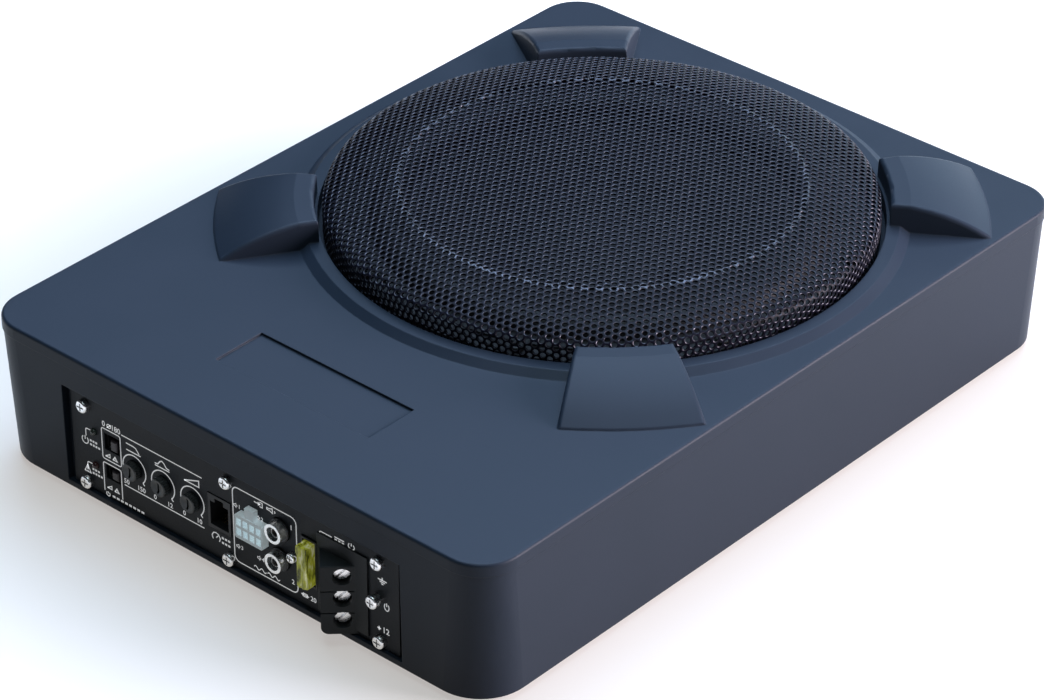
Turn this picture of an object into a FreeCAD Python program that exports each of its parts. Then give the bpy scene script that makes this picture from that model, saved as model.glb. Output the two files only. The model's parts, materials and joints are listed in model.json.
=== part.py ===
import FreeCAD, Part
import math
import os

# A low powered subwoofer for a car: a moulded shell with a round grille over a flat woofer, and an
# amplifier whose controls and sockets are in a recessed panel in one short wall.
# Millimetres, +Z up. X runs along the body, and the control panel faces -X.
# The drawing's own zero is under the middle of the body. The terminal block stands out of the control
# end, so every piece is moved by ORIGIN_SHIFT to bring the origin under the middle of the whole object.

V = FreeCAD.Vector
UP = V(0, 0, 1)
OUT = V(-1, 0, 0)
IN = V(1, 0, 0)

# ---- Driving dimensions: enclosure ----
BODY_LENGTH = 345.0
BODY_WIDTH = 259.7
BODY_HEIGHT = 61.8
FOOT_HEIGHT = 3.0
SIDE_TAPER = 1.4
BAND_HEIGHT = 5.5
BAND_STEP = 0.5
BAND_EDGE_R = 1.3
TOP_CORNER_R = 17.0
FOOT_CORNER_R = 20.6
WALL = 4.0
DECK_THICKNESS = 3.5
BASE_Z = FOOT_HEIGHT
DECK_Z = BASE_Z + BODY_HEIGHT
PLATE_THICKNESS = 1.5
SEAL_THICKNESS = 0.5
REBATE_INSET = 1.6
PLATE_PLAY = 0.1
BOSS_R = 4.5
SCREW_PLAY = 0.1
BADGE_X = (-136.5, -111.75)
BADGE_HALF_WIDTH = 39.6
BADGE_DEPTH = 1.0
BOTTOM_SCREW_CORNER = (159.5, 117.0)
BOTTOM_SCREW_SIDE = (60.0, 121.0)
BOTTOM_SCREW_END = (164.0, 45.0)
BOTTOM_SCREW_R = 1.5
BOTTOM_SCREW_HEAD_R = 2.9
BOTTOM_SCREW_HEAD = 1.3
BOTTOM_SCREW_LENGTH = 12.0
BOTTOM_BOSS_HEIGHT = 15.0
REBATE_DEPTH = PLATE_THICKNESS + SEAL_THICKNESS
FOOT_AT = (143.0, 103.0)
FOOT_R = (8.2, 9.2)

# ---- Driving dimensions: collar, claws and grille, all about the woofer's axis ----
WOOFER_X = 40.6
RECESS_R = 113.0
COLLAR_OUTER_R = 122.2
COLLAR_TOP_R = 118.3
COLLAR_HEIGHT = 2.5
CLAW_INNER_R = 114.2
CLAW_OUTER_R = 154.4
CLAW_INNER_HALF = 19.8
CLAW_OUTER_HALF = 28.3
CLAW_HEIGHT = 11.6
CLAW_FLAT_R = 122.0
CLAW_KNEE = (138.0, 8.0)
CLAW_TIP_HEIGHT = 0.35
CLAW_DRAFT = 1.5
CLAW_EDGE_R = 1.7
CLAW_ROOT = 3.0
CLAW_OVERRUN = 12.0
GRILLE_R = 111.0
GRILLE_THICKNESS = 1.0
GRILLE_SIDE = 7.6
GRILLE_SHOULDER = (5.4, 4.3)
GRILLE_CREASE = (83.5, 15.8)
GRILLE_STEP = (79.0, 16.0)
GRILLE_TOP = 17.0

# ---- Driving dimensions: woofer ----
SEAT_Z = DECK_Z - 4.0
SEAT_INNER_R = 98.0
SEAT_THICKNESS = 3.0
GASKET_THICKNESS = 0.8
FLANGE_R = 106.5
FLANGE_THICKNESS = 2.0
FLANGE_Z = SEAT_Z + GASKET_THICKNESS
FLANGE_TOP = FLANGE_Z + FLANGE_THICKNESS
WOOFER_SCREW_R = 102.3
WOOFER_SCREW_COUNT = 8
WOOFER_SCREW_FIRST = 22.5
WOOFER_SCREW_SHANK_R = 1.6
WOOFER_BOSS_R = 4.0
WOOFER_BOSS_HEIGHT = 6.0
WINDOW_COUNT = 6
WINDOW_R = (66.0, 90.0)
WINDOW_HALF = 21.0
WINDOW_Z = (40.0, 60.5)
SURROUND_R = (73.5, 98.5)
SURROUND_MIDDLE_R = 85.2
SURROUND_ROLL_R = 7.3
SURROUND_SKIN = 0.8
CONE_LIP_R = (74.2, 80.0)
CONE_NECK_R = 26.5
CONE_NECK_Z = 49.6
CAP_R = 38.0
CAP_Z = 53.1
CAP_RISE = 7.3
FORMER_R = 25.2
WINDING_R = 26.2
POLE_R = 24.4
COIL_Z = 24.8
FORMER_LENGTH = 25.4
WINDING_LENGTH = 12.0
FRONT_PLATE_R = 50.0
MAGNET_R = (33.0, 56.0)
POLE_PLATE_R = 52.0
VENT_R = 6.0
FRONT_PLATE_Z = (27.8, 33.8)
MAGNET_Z = (15.8, 27.8)
POLE_PLATE_Z = 9.8
SPIDER_Z = 43.4
SPIDER_R = 62.0
SPIDER_WAVE_R = 55.5
SPIDER_RIM_R = 57.0
SPIDER_RINGS = 6
SPIDER_SKIN = 0.5
SPIDER_WAVE = 0.8

# ---- Driving dimensions: control panel ----
PANEL_FRONT = -169.6
PANEL_THICKNESS = 1.5
PANEL_BACK = PANEL_FRONT + PANEL_THICKNESS
PANEL_HALF = 85.5
PANEL_Z = (6.0, 49.0)
PANEL_OPENING_HALF = 87.9
PANEL_OPENING_Z = (5.5, 49.5)
LEDGE_BACK = -164.6
LEDGE_HALF = 82.0
LEDGE_Z = (8.5, 46.5)
PANEL_WALL_X = (-169.0, LEDGE_BACK)
PANEL_WALL_HALF = 92.0
PANEL_WALL_TOP = 54.0
PANEL_BOSS_LENGTH = 7.0
PANEL_SCREWS = ((78.0, 43.35), (78.0, 8.5), (1.5, 43.4), (1.2, 8.5), (-75.5, 43.5), (-76.0, 8.65))
PANEL_SCREW_SHANK_R = 1.2
PANEL_SCREW_LENGTH = 7.0
PANEL_GAP = 0.3
KNOB_Y = (51.9, 36.4, 20.7)
KNOB_Z = 25.6
KNOB_R = 4.0
KNOB_SHAFT_R = 3.0
SWITCH_Y = (59.5, 67.8)
PHASE_SWITCH_Z = (27.9, 35.4)
POWER_SWITCH_Z = (14.6, 21.3)
SLIDER_WIDTH = 3.4
LED_Y = 73.3
POWER_LED_Z = 33.3
PROTECT_LED_Z = 17.9
LED_R = 1.5
REMOTE_Y = (0.2, 12.1)
REMOTE_Z = (18.7, 33.9)
REMOTE_CAVITY_Y = (1.4, 10.9)
REMOTE_CAVITY_Z = (20.2, 30.7)
REMOTE_CAVITY_BACK = -158.0
REMOTE_CONTACT_COUNT = 6
REMOTE_CONTACT_PITCH = 1.2
SOCKET_BACK = -152.0
INPUT_Y = (-19.0, -4.7)
INPUT_Z = (23.0, 33.5)
INPUT_FRONT = PANEL_FRONT - 3.0
INPUT_COLUMNS = 4
INPUT_ROWS = 2
INPUT_PITCH = (3.4, 4.5)
INPUT_CAVITY_HALF = (1.3, 1.6)
INPUT_CAVITY_BACK = -162.0
INPUT_PIN_HALF = 0.5
INPUT_LATCH_HALF = 2.3
INPUT_LATCH_TOP = 37.8
PHONO_CENTRES = ((-25.85, 34.7), (-25.5, 21.2))
PHONO_SLEEVE_R = 4.15
PHONO_BORE_R = 2.9
PHONO_CONTACT_R = 2.0
PHONO_HOLE_R = 1.65
PHONO_BOSS_R = 4.8
PHONO_FRONT = -174.1
PHONO_COLLAR_FRONT = PANEL_FRONT - 1.0
PHONO_INNER_R = 3.95
PHONO_SCREW = (-31.75, 24.9)
FUSE_Y = (-43.7, -38.0)
FUSE_Z = (17.5, 36.6)
FUSE_FRONT = -175.1
FUSE_BACK = -163.5
FUSE_PLAY = 0.3
HOLDER_WALL = 0.8
BLADE_WIDTH = 5.2
BLADE_THICKNESS = 0.8
BLADE_BACK = -155.2
BLADE_Z = (FUSE_Z[0] + 0.5, FUSE_Z[1] - 0.5 - BLADE_WIDTH)
TERMINAL_Y = (-65.1, -45.3)
TERMINAL_NOSE = (-179.3, -54.95)
TERMINAL_Z = (6.4, 36.8)
TERMINAL_ROWS = (32.0, 22.2, 12.6)
TERMINAL_SEAMS = (15.8, 25.5)
TERMINAL_FLANGE_Y = (-70.3, -45.1)
TERMINAL_FLANGE_Z = (8.0, 43.0)
TERMINAL_FLANGE_THICKNESS = 0.8
TERMINAL_SCREW = (-74.7, 27.05)
BLOCK_BODY_Y = (-64.6, -46.0)
BLOCK_BODY_Z = (8.9, TERMINAL_Z[1])
BLOCK_BODY_BACK = -160.3
BLOCK_FOOT_BACK = -158.0
WIRE_POCKET_Y = (-53.0, -47.6)
WIRE_POCKET_HALF = 3.1
CLAMP_X = (-167.8, -163.2)
CLAMP_SCREW_AT = (-173.7, -60.9)
CLAMP_HEAD_R = 3.1
CLAMP_HEAD_HEIGHT = 1.7
CLAMP_SEAT_DEPTH = 4.8
CLAMP_SHANK_R = 1.5
CLAMP_SHANK_LENGTH = 7.5
CLAMP_WELL_R = 3.6
CLAMP_WELL_DEPTH = 5.2
CLAMP_AXIS = V(-math.sqrt(0.5), -math.sqrt(0.5), 0)

# ---- Driving dimensions: amplifier ----
BOARD_X = (-160.0, -78.0)
BOARD_HALF = 82.0
BOARD_Z = 9.0
BOARD_TOP = BOARD_Z + 1.6
STANDOFFS = ((-150.0, 76.0), (-150.0, -76.0), (-83.0, 76.0), (-83.0, -76.0))
CAPACITOR_X = (-142.0, -124.0)
CAPACITOR_Y = (46.0, 64.0)
CAPACITOR_R = 8.0
CAPACITOR_HEIGHT = 30.0
TOROID_AT = (-132.0, -52.0)
TOROID_R = 11.0
TOROID_THICKNESS_R = 5.0
HEAT_SINK_X = (-108.0, -88.0)
HEAT_SINK_HALF = 58.0
HEAT_SINK_Z = (12.0, 44.0)
HEAT_SINK_BASE = 4.0
FIN_COUNT = 15
FIN_THICKNESS = 2.0
TRANSISTOR_COUNT = 6
TRANSISTOR_PITCH = 16.0
CONNECTOR_X = (-84.0, -78.5)
CONNECTOR_Y = (-22.0, -6.0)
CONNECTOR_Z = (BOARD_TOP, BOARD_TOP + 8.0)
STRIP_X = (WOOFER_X - 63.0, WOOFER_X - 58.2)
STRIP_Z = (SPIDER_Z - 7.6, SPIDER_Z - 1.6)
TAB_Y = 5.0
TAB_Z = 38.4
TAB_END = STRIP_X[0] - 7.0
LEAD_R = 1.2

ORIGIN_SHIFT = V(-(TERMINAL_NOSE[0] + BODY_LENGTH / 2) / 2, 0, 0)


# ---- Drawing helpers ----
def block(x, y, z):
    """A box from (low, high) pairs."""
    return Part.makeBox(x[1] - x[0], y[1] - y[0], z[1] - z[0], V(x[0], y[0], z[0]))


def rod(radius, start, length, axis=UP):
    return Part.makeCylinder(radius, length, start, axis)


def tube(outer_r, inner_r, start, length, axis=UP):
    back = start - axis * 1.0
    return rod(outer_r, start, length, axis).cut(rod(inner_r, back, length + 2.0, axis))


def rounded_wire(length, width, radius, z):
    """A rectangle with round corners, centred on the drawing's zero."""
    hx = length / 2 - radius
    hy = width / 2 - radius
    edges = []
    for turn, (sx, sy) in enumerate(((1, 1), (-1, 1), (-1, -1), (1, -1))):
        start = 90 * turn
        edges.append(Part.makeCircle(radius, V(sx * hx, sy * hy, z), UP, start, start + 90))
    sides = []
    for turn in range(4):
        here = edges[turn].Vertexes[-1].Point
        there = edges[(turn + 1) % 4].Vertexes[0].Point
        sides += [edges[turn], Part.makeLine(here, there)]
    return Part.Wire(sides)


def rounded_prism(length, width, radius, z):
    face = Part.Face(rounded_wire(length, width, radius, z[0]))
    return face.extrude(V(0, 0, z[1] - z[0]))


def plan_prism(points, z):
    """An upright prism on a closed plan of (x, y) points."""
    corners = [V(x, y, z[0]) for x, y in points]
    face = Part.Face(Part.makePolygon(corners + corners[:1]))
    return face.extrude(V(0, 0, z[1] - z[0]))


def turned(points):
    """A solid turned about the woofer's axis from a closed outline of (radius, z) points."""
    corners = [V(WOOFER_X + r, 0, z) for r, z in points]
    face = Part.Face(Part.makePolygon(corners + corners[:1]))
    return face.revolve(V(WOOFER_X, 0, 0), UP, 360)


def turned_wire(edges):
    """The same from an outline of edges already drawn in the plane Y = 0."""
    face = Part.Face(Part.Wire(Part.__sortEdges__(edges)))
    return face.revolve(V(WOOFER_X, 0, 0), UP, 360)


def on_profile(r, z):
    return V(WOOFER_X + r, 0, z)


def woofer_screw_places(z):
    """The woofer screws' places, evenly spaced on a circle about its axis."""
    places = []
    for i in range(WOOFER_SCREW_COUNT):
        turn = math.radians(WOOFER_SCREW_FIRST + 360.0 * i / WOOFER_SCREW_COUNT)
        places.append(V(WOOFER_X + WOOFER_SCREW_R * math.cos(turn), WOOFER_SCREW_R * math.sin(turn), z))
    return places


def spun(shape, degrees):
    copy = shape.copy()
    copy.rotate(V(WOOFER_X, 0, 0), UP, degrees)
    return copy


def facing(shape, place, axis):
    """Turn a shape drawn along +Z so that it points along axis, and put its zero at place."""
    copy = shape.copy()
    copy.Placement = FreeCAD.Placement(place, FreeCAD.Rotation(UP, axis))
    return copy


def group(shapes):
    return Part.makeCompound(shapes)


def pan_screw(head_r, head_height, shank_r, length, collar_r=0.0, collar_height=0.0):
    """A pan-head screw with a cross recess. Its seat is at zero and the head is above it."""
    head = rod(head_r, V(0, 0, collar_height), head_height)
    rim = [e for e in head.Edges if abs(e.BoundBox.ZMin - collar_height - head_height) < 1e-6]
    head = head.makeFillet(head_height * 0.45, rim)
    top = collar_height + head_height
    arm = head_r * 0.62
    half = head_r * 0.11
    for x, y in ((arm, half), (half, arm)):
        head = head.cut(block((-x, x), (-y, y), (top - head_height * 0.5, top + 1)))
    screw = head.fuse(rod(shank_r, V(0, 0, -length), length + collar_height))
    if collar_height > 0:
        screw = screw.fuse(rod(collar_r, V(0, 0, 0), collar_height))
    return screw.removeSplitter()


# ---- Enclosure ----
def bottom_screw_places():
    places = []
    for x, y in (BOTTOM_SCREW_CORNER, BOTTOM_SCREW_SIDE):
        places += [V(sx * x, sy * y, 0) for sx in (-1, 1) for sy in (-1, 1)]
    x, y = BOTTOM_SCREW_END
    return places + [V(x, -y, 0), V(x, y, 0)]


def shell_outside():
    inset = 2 * SIDE_TAPER
    step = 2 * BAND_STEP
    band_z = DECK_Z - BAND_HEIGHT
    foot = rounded_wire(BODY_LENGTH - inset, BODY_WIDTH - inset, FOOT_CORNER_R, BASE_Z)
    waist = rounded_wire(BODY_LENGTH - step, BODY_WIDTH - step, TOP_CORNER_R - BAND_STEP, band_z)
    walls = Part.makeLoft([foot, waist], True, True)
    band = rounded_prism(BODY_LENGTH, BODY_WIDTH, TOP_CORNER_R, (band_z, DECK_Z))
    rim = [e for e in band.Edges if e.BoundBox.ZMin > DECK_Z - 1e-6]
    return walls.fuse(band.makeFillet(BAND_EDGE_R, rim))


def shell_cavity():
    low = 2 * (SIDE_TAPER + WALL)
    high = 2 * (BAND_STEP + WALL)
    floor = rounded_wire(BODY_LENGTH - low, BODY_WIDTH - low, FOOT_CORNER_R - WALL, BASE_Z)
    roof_z = DECK_Z - DECK_THICKNESS
    roof = rounded_wire(BODY_LENGTH - high, BODY_WIDTH - high, TOP_CORNER_R - WALL, roof_z)
    return Part.makeLoft([floor, roof], True, True)


def plate_outline(play, z):
    inset = 2 * (SIDE_TAPER + REBATE_INSET + play)
    radius = FOOT_CORNER_R - REBATE_INSET - play
    return rounded_prism(BODY_LENGTH - inset, BODY_WIDTH - inset, radius, z)


def collar():
    bottom = DECK_Z - 1.0
    top = DECK_Z + COLLAR_HEIGHT
    return turned([(RECESS_R, bottom), (COLLAR_OUTER_R, bottom), (COLLAR_OUTER_R, DECK_Z),
                   (COLLAR_TOP_R, top), (RECESS_R, top)])


def claw_sides(z, inset):
    """The outline at one height of the wedge between a claw's two flared sides."""
    sides = []
    for side in (1, -1):
        ends = []
        for radius, full_half in ((CLAW_INNER_R, CLAW_INNER_HALF), (CLAW_OUTER_R, CLAW_OUTER_HALF)):
            half = full_half - inset
            ends.append(on_profile(math.sqrt(radius ** 2 - half ** 2), z) + V(0, side * half, 0))
        along = (ends[1] - ends[0]).normalize() * CLAW_OVERRUN
        sides.append((ends[0] - along, ends[1] + along))
    corners = [sides[0][0], sides[0][1], sides[1][1], sides[1][0]]
    return Part.makePolygon(corners + corners[:1])


def claw_ring():
    """The stretch of a ring about the woofer that a claw is cut from, high inside and low outside."""
    bottom = DECK_Z - CLAW_ROOT
    top = DECK_Z + CLAW_HEIGHT
    inner = on_profile(CLAW_INNER_R, top)
    flat = on_profile(CLAW_FLAT_R, top)
    knee = on_profile(CLAW_KNEE[0], DECK_Z + CLAW_KNEE[1])
    tip = on_profile(CLAW_OUTER_R, DECK_Z + CLAW_TIP_HEIGHT)
    outer_foot = on_profile(CLAW_OUTER_R, bottom)
    inner_foot = on_profile(CLAW_INNER_R, bottom)
    outline = Part.Wire([
        Part.makeLine(inner, flat),
        Part.Arc(flat, knee, tip).toShape(),
        Part.makeLine(tip, outer_foot),
        Part.makeLine(outer_foot, inner_foot),
        Part.makeLine(inner_foot, inner),
    ])
    return spun(Part.Face(outline), -20).revolve(V(WOOFER_X, 0, 0), UP, 40)


def claw():
    """A claw on the +X side of the collar: high at the grille, and fading out to the deck."""
    low = claw_sides(DECK_Z - CLAW_ROOT - 1, 0.0)
    high = claw_sides(DECK_Z + CLAW_HEIGHT + 1, CLAW_DRAFT)
    shape = claw_ring().common(Part.makeLoft([low, high], True, True))
    upper = [e for e in shape.Edges if e.BoundBox.ZMin > DECK_Z - 1]
    return shape.makeFillet(CLAW_EDGE_R, upper)


def panel_opening(shell):
    """Thicken the wall behind the control panel, then cut its recess, ledge and screw bosses."""
    low = BASE_Z + REBATE_DEPTH
    thick = block(PANEL_WALL_X, (-PANEL_WALL_HALF, PANEL_WALL_HALF), (low, PANEL_WALL_TOP))
    recess = block((-180.0, PANEL_BACK), (-PANEL_OPENING_HALF, PANEL_OPENING_HALF), PANEL_OPENING_Z)
    inside = block((-175.0, -150.0), (-LEDGE_HALF, LEDGE_HALF), LEDGE_Z)
    above_plate = block((PANEL_BACK, -150.0), (-PANEL_WALL_HALF, PANEL_WALL_HALF), (low, PANEL_WALL_TOP))
    shell = shell.fuse(thick).cut(recess).cut(inside)
    for y, z in PANEL_SCREWS:
        boss = rod(BOSS_R, V(PANEL_BACK, y, z), PANEL_BOSS_LENGTH, IN)
        shell = shell.fuse(boss.common(above_plate))
    hole = rod(PANEL_SCREW_SHANK_R + SCREW_PLAY, V(PANEL_FRONT, 0, 0), PANEL_SCREW_LENGTH + 0.5, IN)
    for y, z in PANEL_SCREWS:
        shell = shell.cut(hole.translated(V(0, y, z)))
    return shell


def woofer_seat(shell):
    ring_bottom = SEAT_Z - SEAT_THICKNESS
    ring = tube(RECESS_R + 3.0, SEAT_INNER_R, V(WOOFER_X, 0, ring_bottom), DECK_Z - ring_bottom - 1.0)
    shell = shell.fuse(ring)
    for place in woofer_screw_places(ring_bottom - WOOFER_BOSS_HEIGHT):
        shell = shell.fuse(rod(WOOFER_BOSS_R, place, WOOFER_BOSS_HEIGHT + 0.5))
    shell = shell.cut(rod(RECESS_R, V(WOOFER_X, 0, SEAT_Z), 30.0))
    shell = shell.cut(rod(SEAT_INNER_R, V(WOOFER_X, 0, ring_bottom - 8.0), 30.0))
    for place in woofer_screw_places(ring_bottom - WOOFER_BOSS_HEIGHT + 1.0):
        shell = shell.cut(rod(WOOFER_SCREW_SHANK_R + SCREW_PLAY, place, 12.0))
    return shell


def top_shell():
    shell = shell_outside().fuse(collar())
    one_claw = claw()
    for quarter in range(4):
        shell = shell.fuse(spun(one_claw, 45 + 90 * quarter))
    rebate = plate_outline(0.0, (BASE_Z - 1, BASE_Z + REBATE_DEPTH))
    shell = shell.cut(shell_cavity()).cut(rebate)
    shell = woofer_seat(shell)
    shell = panel_opening(shell)
    for place in bottom_screw_places():
        shell = shell.fuse(rod(BOSS_R, place + V(0, 0, BASE_Z + REBATE_DEPTH), BOTTOM_BOSS_HEIGHT))
        hole = rod(BOTTOM_SCREW_R + SCREW_PLAY, place + V(0, 0, BASE_Z), BOTTOM_SCREW_LENGTH + 2)
        shell = shell.cut(hole)
    badge = block(BADGE_X, (-BADGE_HALF_WIDTH, BADGE_HALF_WIDTH), (DECK_Z - BADGE_DEPTH, DECK_Z + 1))
    return shell.cut(badge)


def bottom_screw():
    head = Part.makeCone(BOTTOM_SCREW_HEAD_R, BOTTOM_SCREW_R, BOTTOM_SCREW_HEAD, V(0, 0, BASE_Z), UP)
    shank = rod(BOTTOM_SCREW_R, V(0, 0, BASE_Z), BOTTOM_SCREW_LENGTH)
    slot = block((-1.8, 1.8), (-0.35, 0.35), (BASE_Z - 1, BASE_Z + 0.7))
    cross = block((-0.35, 0.35), (-1.8, 1.8), (BASE_Z - 1, BASE_Z + 0.7))
    return head.fuse(shank).cut(slot).cut(cross)


def bottom_plate():
    plate = plate_outline(PLATE_PLAY, (BASE_Z, BASE_Z + PLATE_THICKNESS))
    hole_r = BOTTOM_SCREW_R + SCREW_PLAY
    for place in bottom_screw_places():
        top = place + V(0, 0, BASE_Z)
        sink = Part.makeCone(BOTTOM_SCREW_HEAD_R + SCREW_PLAY, hole_r, BOTTOM_SCREW_HEAD, top, UP)
        plate = plate.cut(sink).cut(rod(hole_r, place, 10.0))
    return plate


def bottom_plate_screws():
    screws = []
    for place in bottom_screw_places():
        screw = bottom_screw()
        screw.translate(place)
        screws.append(screw)
    return group(screws)


def bottom_gasket():
    z = (BASE_Z + PLATE_THICKNESS, BASE_Z + PLATE_THICKNESS + SEAL_THICKNESS)
    ring = plate_outline(PLATE_PLAY, z)
    inside = 2 * (SIDE_TAPER + WALL + 0.1)
    hole = rounded_prism(BODY_LENGTH - inside, BODY_WIDTH - inside, FOOT_CORNER_R - WALL, (0, 10))
    return ring.cut(hole)


def rubber_feet():
    feet = []
    for sx in (-1, 1):
        for sy in (-1, 1):
            place = V(sx * FOOT_AT[0], sy * FOOT_AT[1], 0)
            feet.append(Part.makeCone(FOOT_R[0], FOOT_R[1], FOOT_HEIGHT, place, UP))
    return group(feet)


# ---- Grille and woofer ----
def grille_line(inset):
    """The dome's (radius, z) points from its foot to the axis, moved in by inset."""
    points = [(GRILLE_R - inset, SEAT_Z + 0.05)]
    bend = math.radians(65)
    width = GRILLE_SHOULDER[0] / (1 - math.cos(bend))
    rise = GRILLE_SHOULDER[1] / math.sin(bend)
    for i in range(7):
        angle = bend * i / 6
        height = GRILLE_SIDE + rise * math.sin(angle)
        radius = GRILLE_R - inset - (width - inset) * (1 - math.cos(angle))
        points.append((radius, DECK_Z - inset + height))
    slope_r = GRILLE_R - GRILLE_SHOULDER[0]
    slope_h = GRILLE_SIDE + GRILLE_SHOULDER[1]
    start = rise * math.cos(bend) / (width * math.sin(bend))
    run = slope_r - GRILLE_CREASE[0]
    ease = (start - (GRILLE_CREASE[1] - slope_h) / run) / run
    for i in range(1, 9):
        reach = run * i / 8
        points.append((slope_r - reach, DECK_Z - inset + slope_h + start * reach - ease * reach ** 2))
    points.append((GRILLE_STEP[0], DECK_Z - inset + GRILLE_STEP[1]))
    for i in range(1, 7):
        radius = GRILLE_STEP[0] * (1 - i / 6)
        dome = (GRILLE_TOP - GRILLE_STEP[1]) * (1 - (radius / GRILLE_STEP[0]) ** 2)
        points.append((radius, DECK_Z - inset + GRILLE_STEP[1] + dome))
    return points


def woofer_grille():
    return turned(grille_line(0.0) + grille_line(GRILLE_THICKNESS)[::-1])


def woofer_basket():
    ledge = SPIDER_Z
    plate_top = FRONT_PLATE_Z[1]
    basket = turned([(FLANGE_R, FLANGE_Z), (FLANGE_R, FLANGE_TOP), (95.0, FLANGE_TOP),
                     (62.5, ledge), (56.0, ledge), (50.0, plate_top + 1.6), (38.0, plate_top + 1.6),
                     (38.0, plate_top), (51.2, plate_top), (57.3, ledge - 1.6),
                     (63.0, ledge - 1.6), (96.0, FLANGE_Z)])
    window_x = (WOOFER_X + WINDOW_R[0], WOOFER_X + WINDOW_R[1])
    window = block(window_x, (-WINDOW_HALF, WINDOW_HALF), WINDOW_Z)
    for i in range(WINDOW_COUNT):
        basket = basket.cut(spun(window, 360.0 * i / WINDOW_COUNT))
    for place in woofer_screw_places(FLANGE_Z - 1):
        basket = basket.cut(rod(1.9, place, 5.0))
    return basket


def woofer_gasket():
    ring = tube(106.0, SEAT_INNER_R + 0.4, V(WOOFER_X, 0, SEAT_Z), GASKET_THICKNESS)
    for place in woofer_screw_places(SEAT_Z - 1):
        ring = ring.cut(rod(1.9, place, 5.0))
    return ring


def woofer_screws():
    screw = pan_screw(3.0, 2.0, WOOFER_SCREW_SHANK_R, 7.0)
    return group([facing(screw, place, UP) for place in woofer_screw_places(FLANGE_TOP)])


def woofer_surround():
    """A rubber half roll between the basket's flange and the cone's lip."""
    middle = SURROUND_MIDDLE_R
    roll = SURROUND_ROLL_R
    skin = SURROUND_SKIN
    base = FLANGE_TOP + skin
    lip = FLANGE_TOP + 0.3
    top_out = on_profile(middle + roll, base)
    top_in = on_profile(middle - roll, lip + skin)
    under_out = on_profile(middle + roll - skin, FLANGE_TOP)
    under_in = on_profile(middle - roll + skin, lip)
    corners = [on_profile(SURROUND_R[1], FLANGE_TOP), on_profile(SURROUND_R[1], base)]
    ends = [on_profile(SURROUND_R[0], lip + skin), on_profile(SURROUND_R[0], lip)]
    return turned_wire([
        Part.makeLine(under_out, corners[0]),
        Part.makeLine(corners[0], corners[1]),
        Part.makeLine(corners[1], top_out),
        Part.Arc(top_out, on_profile(middle, base + roll), top_in).toShape(),
        Part.makeLine(top_in, ends[0]),
        Part.makeLine(ends[0], ends[1]),
        Part.makeLine(ends[1], under_in),
        Part.Arc(under_in, on_profile(middle, base + roll - skin), under_out).toShape(),
    ])


def woofer_cone():
    lip = FLANGE_TOP
    neck = CONE_NECK_Z
    slope_r, lip_r = CONE_LIP_R
    return turned([(lip_r, lip - 0.8), (lip_r, lip), (slope_r, lip), (CONE_NECK_R, neck),
                   (FORMER_R, neck), (FORMER_R, neck - 1.0), (CONE_NECK_R + 0.5, neck - 1.0),
                   (slope_r + 0.6, lip - 0.8)])


def dust_cap():
    """A shallow dome over the coil, glued to the cone around its rim."""
    skin = 0.8
    under = [(CAP_R * i / 10, CAP_Z + CAP_RISE * (1 - (i / 10) ** 2)) for i in range(11)]
    return turned(under + [(r, z + skin) for r, z in reversed(under)])


def voice_coil_former():
    return tube(FORMER_R, FORMER_R - 0.3, V(WOOFER_X, 0, COIL_Z), FORMER_LENGTH)


def voice_coil_winding():
    return tube(WINDING_R, FORMER_R, V(WOOFER_X, 0, COIL_Z), WINDING_LENGTH)


def spider():
    """A corrugated disc that centres the coil former, with a flat glued rim."""
    steps = 8 * SPIDER_RINGS
    inner_r = FORMER_R + 0.3
    middle = SPIDER_Z + 0.9
    top = []
    for i in range(steps + 1):
        radius = inner_r + (SPIDER_WAVE_R - inner_r) * i / steps
        turn = 2 * math.pi * SPIDER_RINGS * i / steps
        top.append((radius, middle + SPIDER_WAVE * math.sin(turn)))
    bottom = [(r, z - SPIDER_SKIN) for r, z in reversed(top)]
    rim_top = SPIDER_Z + SPIDER_SKIN
    rim = [(SPIDER_RIM_R, rim_top), (SPIDER_R, rim_top), (SPIDER_R, SPIDER_Z), (SPIDER_RIM_R, SPIDER_Z)]
    return turned(top + rim + bottom)


def woofer_front_plate():
    height = FRONT_PLATE_Z[1] - FRONT_PLATE_Z[0]
    return tube(FRONT_PLATE_R, WINDING_R + 0.6, V(WOOFER_X, 0, FRONT_PLATE_Z[0]), height)


def woofer_magnet():
    return tube(MAGNET_R[1], MAGNET_R[0], V(WOOFER_X, 0, MAGNET_Z[0]), MAGNET_Z[1] - MAGNET_Z[0])


def woofer_pole_plate():
    foot = V(WOOFER_X, 0, POLE_PLATE_Z)
    plate = rod(POLE_PLATE_R, foot, MAGNET_Z[0] - POLE_PLATE_Z)
    pole = rod(POLE_R, foot, FRONT_PLATE_Z[1] - POLE_PLATE_Z)
    return plate.fuse(pole).cut(rod(VENT_R, V(WOOFER_X, 0, 0), 60.0))


def woofer_terminal_strip():
    return block(STRIP_X, (-9.0, 9.0), STRIP_Z)


def woofer_terminal_tabs():
    tabs = []
    for side in (-1, 1):
        y = side * TAB_Y
        tabs.append(block((TAB_END, STRIP_X[0]), (y - 2.4, y + 2.4), (TAB_Z - 0.4, TAB_Z + 0.4)))
    return group(tabs)


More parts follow.
